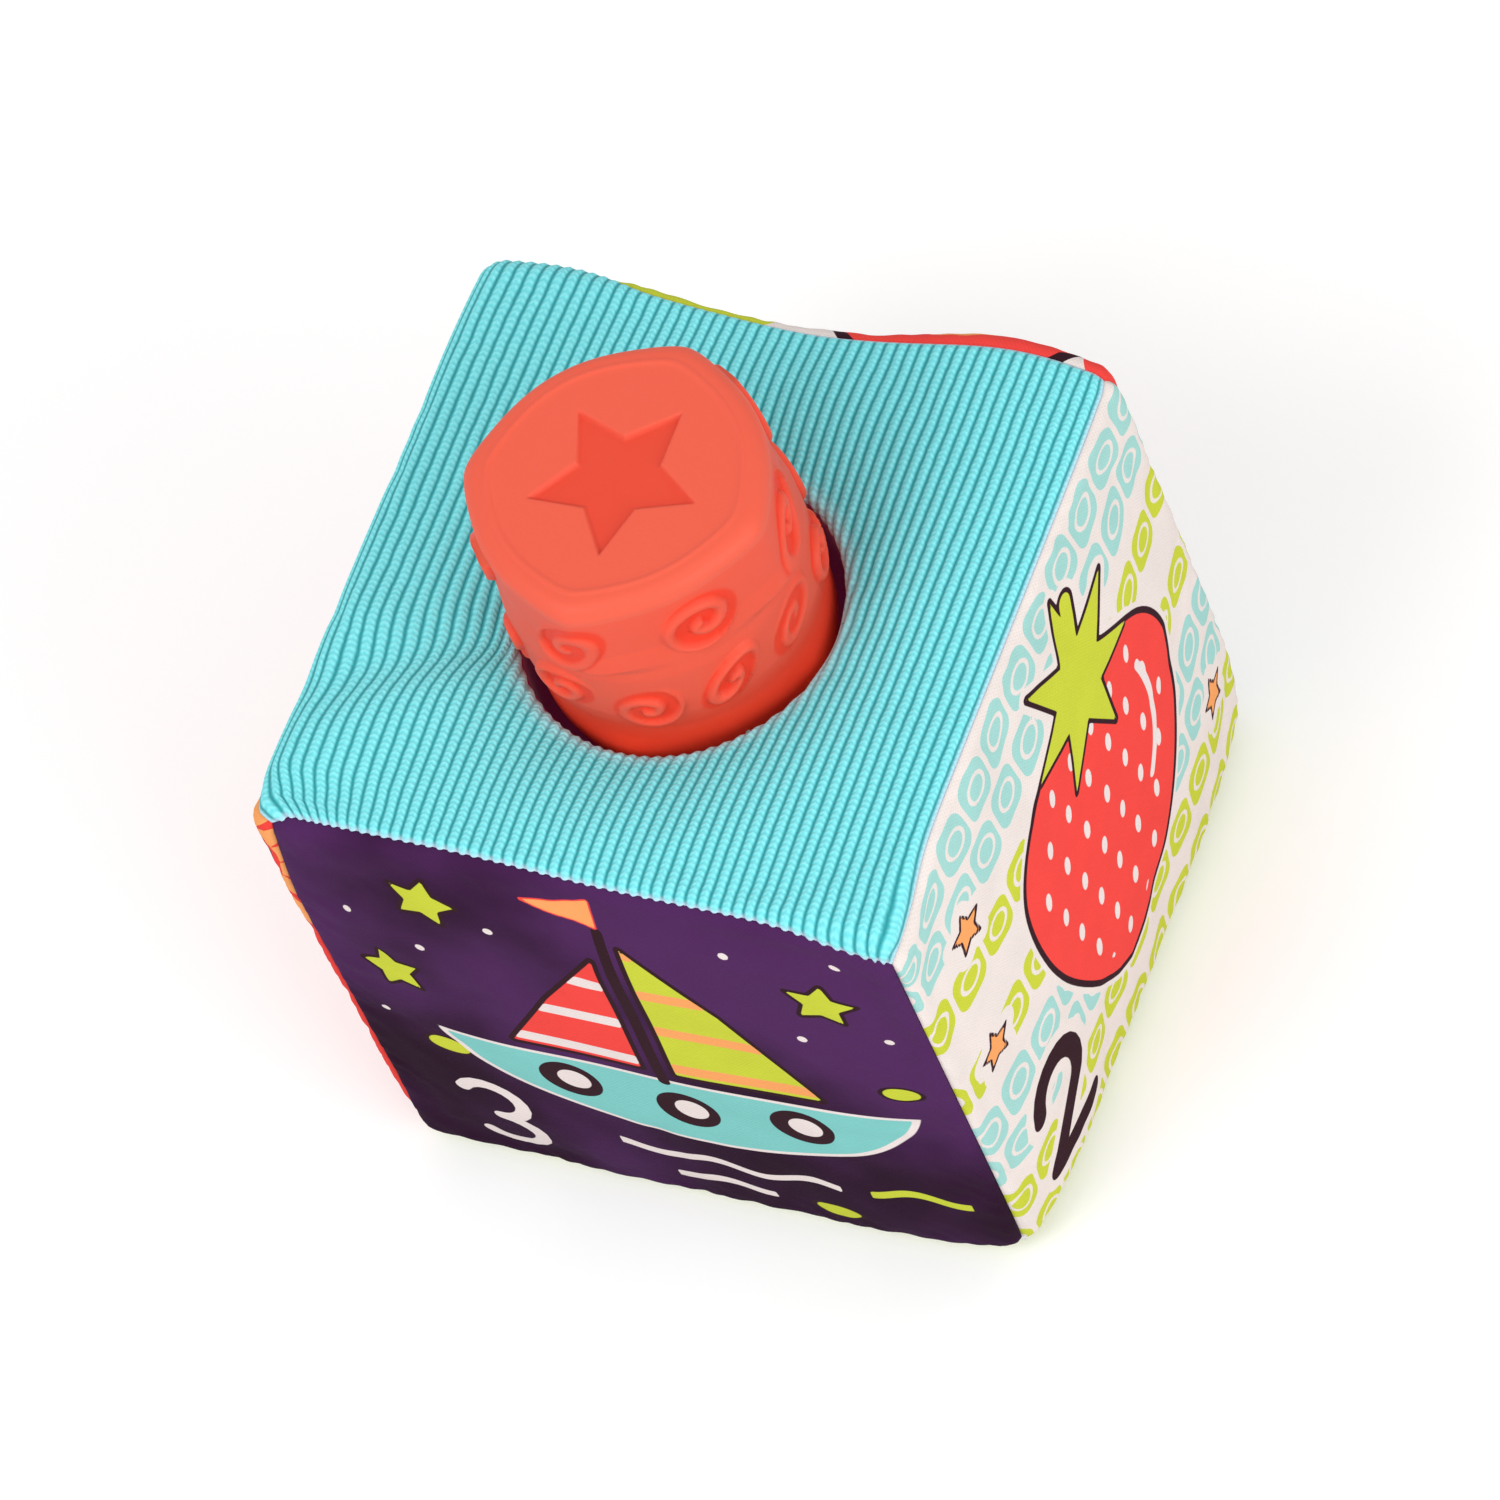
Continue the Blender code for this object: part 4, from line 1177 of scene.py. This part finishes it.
PROFILE = np.concatenate([
    straight((0.4, HOLLOW_TOP), (22, HOLLOW_TOP), 6),
    bend((22, 50.8), 2.5, 90, 0, 5),
    straight((24.5, 50.8), (24.5, 6.5), 10),
    bend((20.5, 6.5), 4, 0, -90, 5),
    straight((20.5, 2.5), (4.8, 2.5), 5),
    straight((4.8, 2.5), (4.8, 1.5), 2),
    straight((4.8, 1.5), (6.8, 1.5), 2),
    straight((6.8, 1.5), (6.8, 0), 2),
    straight((6.8, 0), (22.5, 0), 7),
    bend((22.5, 5), 5, -90, 0, 9),
    straight((27.5, 5), (27.5, 15), 8),
    straight((27.5, 15), (28.1, 20), 12),
    straight((28.1, 20), (28.1, 32), 32),
    straight((28.1, 32), (27.0, 41), 25),
    straight((27.0, 41), (27.0, 52.8), 33),
    bend((23.8, 52.8), 3.2, 0, 90, 10),
    straight((23.8, BLOCK_TOP), (21.4, BLOCK_TOP), 10),
    straight((21.4, BLOCK_TOP), (17.0, BLOCK_TOP), 4),
    straight((17.0, BLOCK_TOP), (0.4, BLOCK_TOP), 46),
    [(0.4, BLOCK_TOP)],
])  # fmt: skip
print(len(PROFILE), "rows of", SPOKES, "points")

# %% [markdown]
# The relief is a general one: two rows of oval spirals, large ones over small ones. Each point
# finds its nearest oval, then its polar place in it. Along a spiral the radius grows by one
# pitch a turn, so what is left of radius over pitch less turn tells how far a ridge is.

# %% Relief, star and corners
# The second coral is painted shade: it darkens the hollows between ridges, the sides and the foot.
CORAL, CORAL_PAINTED_SHADE = (0.800, 0.108, 0.060), (0.830, 0.036, 0.010)
# The third coral is painted shade in the sunk star; the pale one is random mottling.
SUNK_STAR_SHADE, PALE_CORAL = (0.740, 0.050, 0.022), (0.85, 0.2, 0.12)
CORNERS = (-8, 85, 187, 271)
STAR_RADIUS, STAR_DEPTH = 16, 0.9
BEAD_RADIUS, BEAD_WIDTH, BEAD_HEIGHT = 22.8, 0.55, 0.3
RELIEF_RADIUS = 28.0
WINDINGS, RIDGE_SHARE = 1.4, 0.5
# Rows of ovals: how many, where on the way round, middle height, half width, half height, ridge height
OVAL_ROWS = ((7, 0.18, 44.0, 7.8, 6.8, 1.4), (11, 0.72, 24.2, 6.8, 5.6, 1.4))


def soft_corners(turn):
    """How much of a corner there is: a bell in the turn round each of the four."""
    away = (np.degrees(turn)[..., None] - np.array(CORNERS) + 180) % 360 - 180
    return np.exp(-((np.abs(away) / 15) ** 1.6)).max(axis=-1)


def spirals(turn, height):
    """Ridges in mm, half circles across each arm of the nearest oval spiral, and the hollows
    between them."""
    ridge, hollow = np.zeros_like(turn), np.zeros_like(turn)
    for count, shift, middle, wide, tall, high in OVAL_ROWS:
        number = np.round(turn / tau * count - shift)
        away = (turn - (number + shift) * tau / count) * RELIEF_RADIUS
        which = number % count
        lift = 0.35 + 0.3 * np.sin(1.7 * which + count)
        up = height - middle - away * lift + 1.5 * np.cos(2.3 * which)
        hand = np.where((which + count) % 2, 1, -1)
        rho, phi = np.hypot(away / wide, up / tall), np.arctan2(up / tall, away / wide * hand)
        arm = np.abs((rho * WINDINGS - phi / tau - 0.37 * which) % 1 - 0.5) * 2
        inside = ease((1.05 - rho) / 0.12)
        rise = np.sqrt(np.clip(1 - (arm / RIDGE_SHARE) ** 2, 0, 1)) * inside
        ridge, hollow = ridge + high * rise, hollow + inside * (1 - rise)
    return ridge, hollow


def rubber_mesh():
    row, turn = (grid.T for grid in turns_of(np.arange(len(PROFILE)), SPOKES))
    radius, height = PROFILE[row, 0], PROFILE[row, 1]
    outside = row > np.flatnonzero(PROFILE[:, 1] == 0)[-1]
    side = outside & (height < RELIEF_TOP)
    bells = soft_corners(turn)
    ridge, hollow = (np.where(side, field, 0) for field in spirals(turn, height))
    ridge = ridge * (1 - 0.7 * bells)
    corner = 2.2 * ease((height - 34.2) / 2.4) + 2.0 * ease((12.5 - height) / 7.5)
    grown = radius + bells * corner * np.clip(radius / 27, 0, 1) ** 2 + ridge
    x, y = grown * np.cos(turn), grown * np.sin(turn)
    top = outside & (height > BLOCK_TOP - 0.1)
    sunk = ease((0.35 - polygon(x, y, star(0, 0, STAR_RADIUS, turn=64))) / 0.7) * top
    bead = BEAD_HEIGHT * bell(radius - BEAD_RADIUS, BEAD_WIDTH) * top
    height = height + bead - STAR_DEPTH * sunk
    points = np.stack([x, y + OPENING_Y / MM, height + BLOCK_BASE / MM], axis=-1) * MM
    pole_heights = (HOLLOW_TOP, BLOCK_TOP - STAR_DEPTH)
    poles = np.array([[0, OPENING_Y, BLOCK_BASE + high * MM] for high in pole_heights])
    index = np.arange(turn.size).reshape(turn.shape)
    index = np.vstack([index, index[:1]])
    caps = cap(index[:, 0], turn.size)[:, ::-1], cap(index[:, -1], turn.size + 1)
    points, quads = np.vstack([points.reshape(-1, 3), poles]), np.vstack([quads_of(index), *caps])
    mesh, _ = new_mesh("rubber_block", points, quads)
    # Painted shade: the hollows between ridges, all of the side a little, and the foot most.
    painted_shade_share = np.maximum(hollow, np.where(side, 0.3 + 0.6 * ease((24 - height) / 12), 0))
    keep(mesh, "painted_shade_share", np.append(painted_shade_share.ravel(), [0, 0]))
    # The sunk star's mask also carries its painted shade.
    keep(mesh, "sunk", np.append(sunk.ravel(), [0, 1]))
    return mesh


def rubber_material():
    soft = dict(Subsurface_Weight=0.12, Subsurface_Radius=(1.0, 0.3, 0.15), Subsurface_Scale=2 * MM)
    material, tree, shader = new_material("coral rubber", CORAL, 0.5, Specular_IOR_Level=0.2, **soft)
    colour = CORAL
    # Painted shade in the hollows, side and foot, painted shade in the sunk star, then random pale
    # mottling.
    shades = (
        (read(tree, "painted_shade_share"), 0.95, CORAL_PAINTED_SHADE),
        (read(tree, "sunk"), 0.8, SUNK_STAR_SHADE),
        (noise(tree, object_place(tree), 70.0), 0.08, PALE_CORAL),
    )
    for mask, share, shade in shades:
        colour = blend(tree, scaled(tree, mask, share), colour, shade)
    join(tree, shader, "Base Color", colour)
    bump(tree, shader, noise(tree, object_place(tree), 1400.0), 0.03 * MM)
    return material


piece_for = ("squeeze_block", "soft_rubber", "rubber_block")
new_piece("rubber_squeeze_block", rubber_mesh(), *piece_for, material=rubber_material())

# %% [markdown]
# The whistle plug under the rubber block is a plain turned piece, so its CAD form is kept and
# only gets its plastic.

# %% Whistle plug
PLUG_WHITE, PLUG_DARK, PLUG_LIGHT = (0.80, 0.80, 0.78), (0.77, 0.77, 0.75), (0.83, 0.83, 0.81)
plug, tree, shader = new_material("plug plastic", PLUG_WHITE, 0.35)
speck = noise(tree, object_place(tree), 900.0)
join(tree, shader, "Base Color", blend(tree, speck, PLUG_DARK, PLUG_LIGHT))
plug_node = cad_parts["whistle_plug"]
plug_node.data.materials.clear()
plug_node.data.materials.append(plug)

# %% [markdown]
# ## Stage, light and camera
#
# A pale floor, two broad lights of like strength, from the upper left and the right, and an even
# world. The floor keeps the block's shadow. Further away its light goes over into plain white,
# for the camera alone, so no horizon shows from any side. The camera is the one that was fitted
# to the photograph: a long lens, rolled a little.

# %% Stage and light
WORLD_LIGHT = 0.70
FADE_START, FADE_END = 0.30, 1.1
LOOK_AT = Vector((0, 0, 0.08))
FLOOR_HALF = 3.0


def lamp(name, spot, power, size):
    """A square area light that looks at the middle of the block."""
    data = bpy.data.lights.new(name, "AREA")
    data.energy, data.size = power, size
    light = add_object(name, data)
    light.location = spot
    light.rotation_euler = (LOOK_AT - light.location).to_track_quat("-Z", "Y").to_euler()


def pale_floor():
    corners = FLOOR_HALF * np.array([[-1, -1, 0], [1, -1, 0], [1, 1, 0], [-1, 1, 0]])
    mesh, _ = new_mesh("floor", corners, np.array([[0, 1, 2, 3]]))
    floor = add_object("floor", mesh)
    floor.location.z = -0.4 * MM
    material, tree, shader = new_material("pale floor", (0.88, 0.88, 0.88), 0.9, Specular_IOR_Level=0.1)
    mottled = noise(tree, object_place(tree), 8.0)
    seen = tree.nodes.new("ShaderNodeLightPath").outputs["Is Camera Ray"]
    pale = blend(tree, mottled, (0.87, 0.87, 0.87), (0.89, 0.89, 0.89))
    length = tree.nodes.new("ShaderNodeVectorMath")
    length.operation = "LENGTH"
    join(tree, length, 0, object_place(tree))
    far = soft_step(tree, length.outputs["Value"], FADE_START, FADE_END)
    pale = blend(tree, far, pale, (0.0, 0.0, 0.0))
    join(tree, shader, "Base Color", blend(tree, seen, (0.80, 0.80, 0.80), pale))
    join(tree, shader, "Emission Color", (1, 1, 1, 1))
    white = scaled(tree, seen, scaled(tree, far, 0.82, 0.18))
    join(tree, shader, "Emission Strength", white)
    mesh.materials.append(material)


def pale_world():
    world = bpy.data.worlds.new("studio")
    bpy.context.scene.world = world
    world.use_nodes = True
    tree = world.node_tree
    back = tree.nodes["Background"]
    path = tree.nodes.new("ShaderNodeLightPath").outputs
    seen = path["Is Camera Ray"]
    for ray in ("Is Glossy Ray", "Is Transmission Ray"):
        seen = calc(tree, "MAXIMUM", seen, path[ray])
    join(tree, back, "Color", (1, 1, 1, 1))
    join(tree, back, "Strength", scaled(tree, seen, 1 - WORLD_LIGHT, WORLD_LIGHT))


pale_floor()
pale_world()
lamp("key", (-0.4, -1.0, 1.4), 9.9, 0.8)
lamp("fill", (1.3, -0.5, 0.75), 9.9, 1.0)

# %% Camera
camera_data = bpy.data.cameras.new("camera")
camera_data.lens, camera_data.sensor_width = 288, 36
CAMERA_AT = (0.8304, -0.9021, 1.8776)
camera = add_object("camera", camera_data)
right, up = Vector((0.90669, 0.34339, -0.24492)), Vector((-0.18362, 0.84411, 0.50374))
turned = Matrix((right, up, right.cross(up).normalized())).transposed().to_4x4()
camera.matrix_world = Matrix.Translation(CAMERA_AT) @ turned
bpy.context.scene.camera = camera
bpy.context.scene.view_settings.view_transform = "Standard"
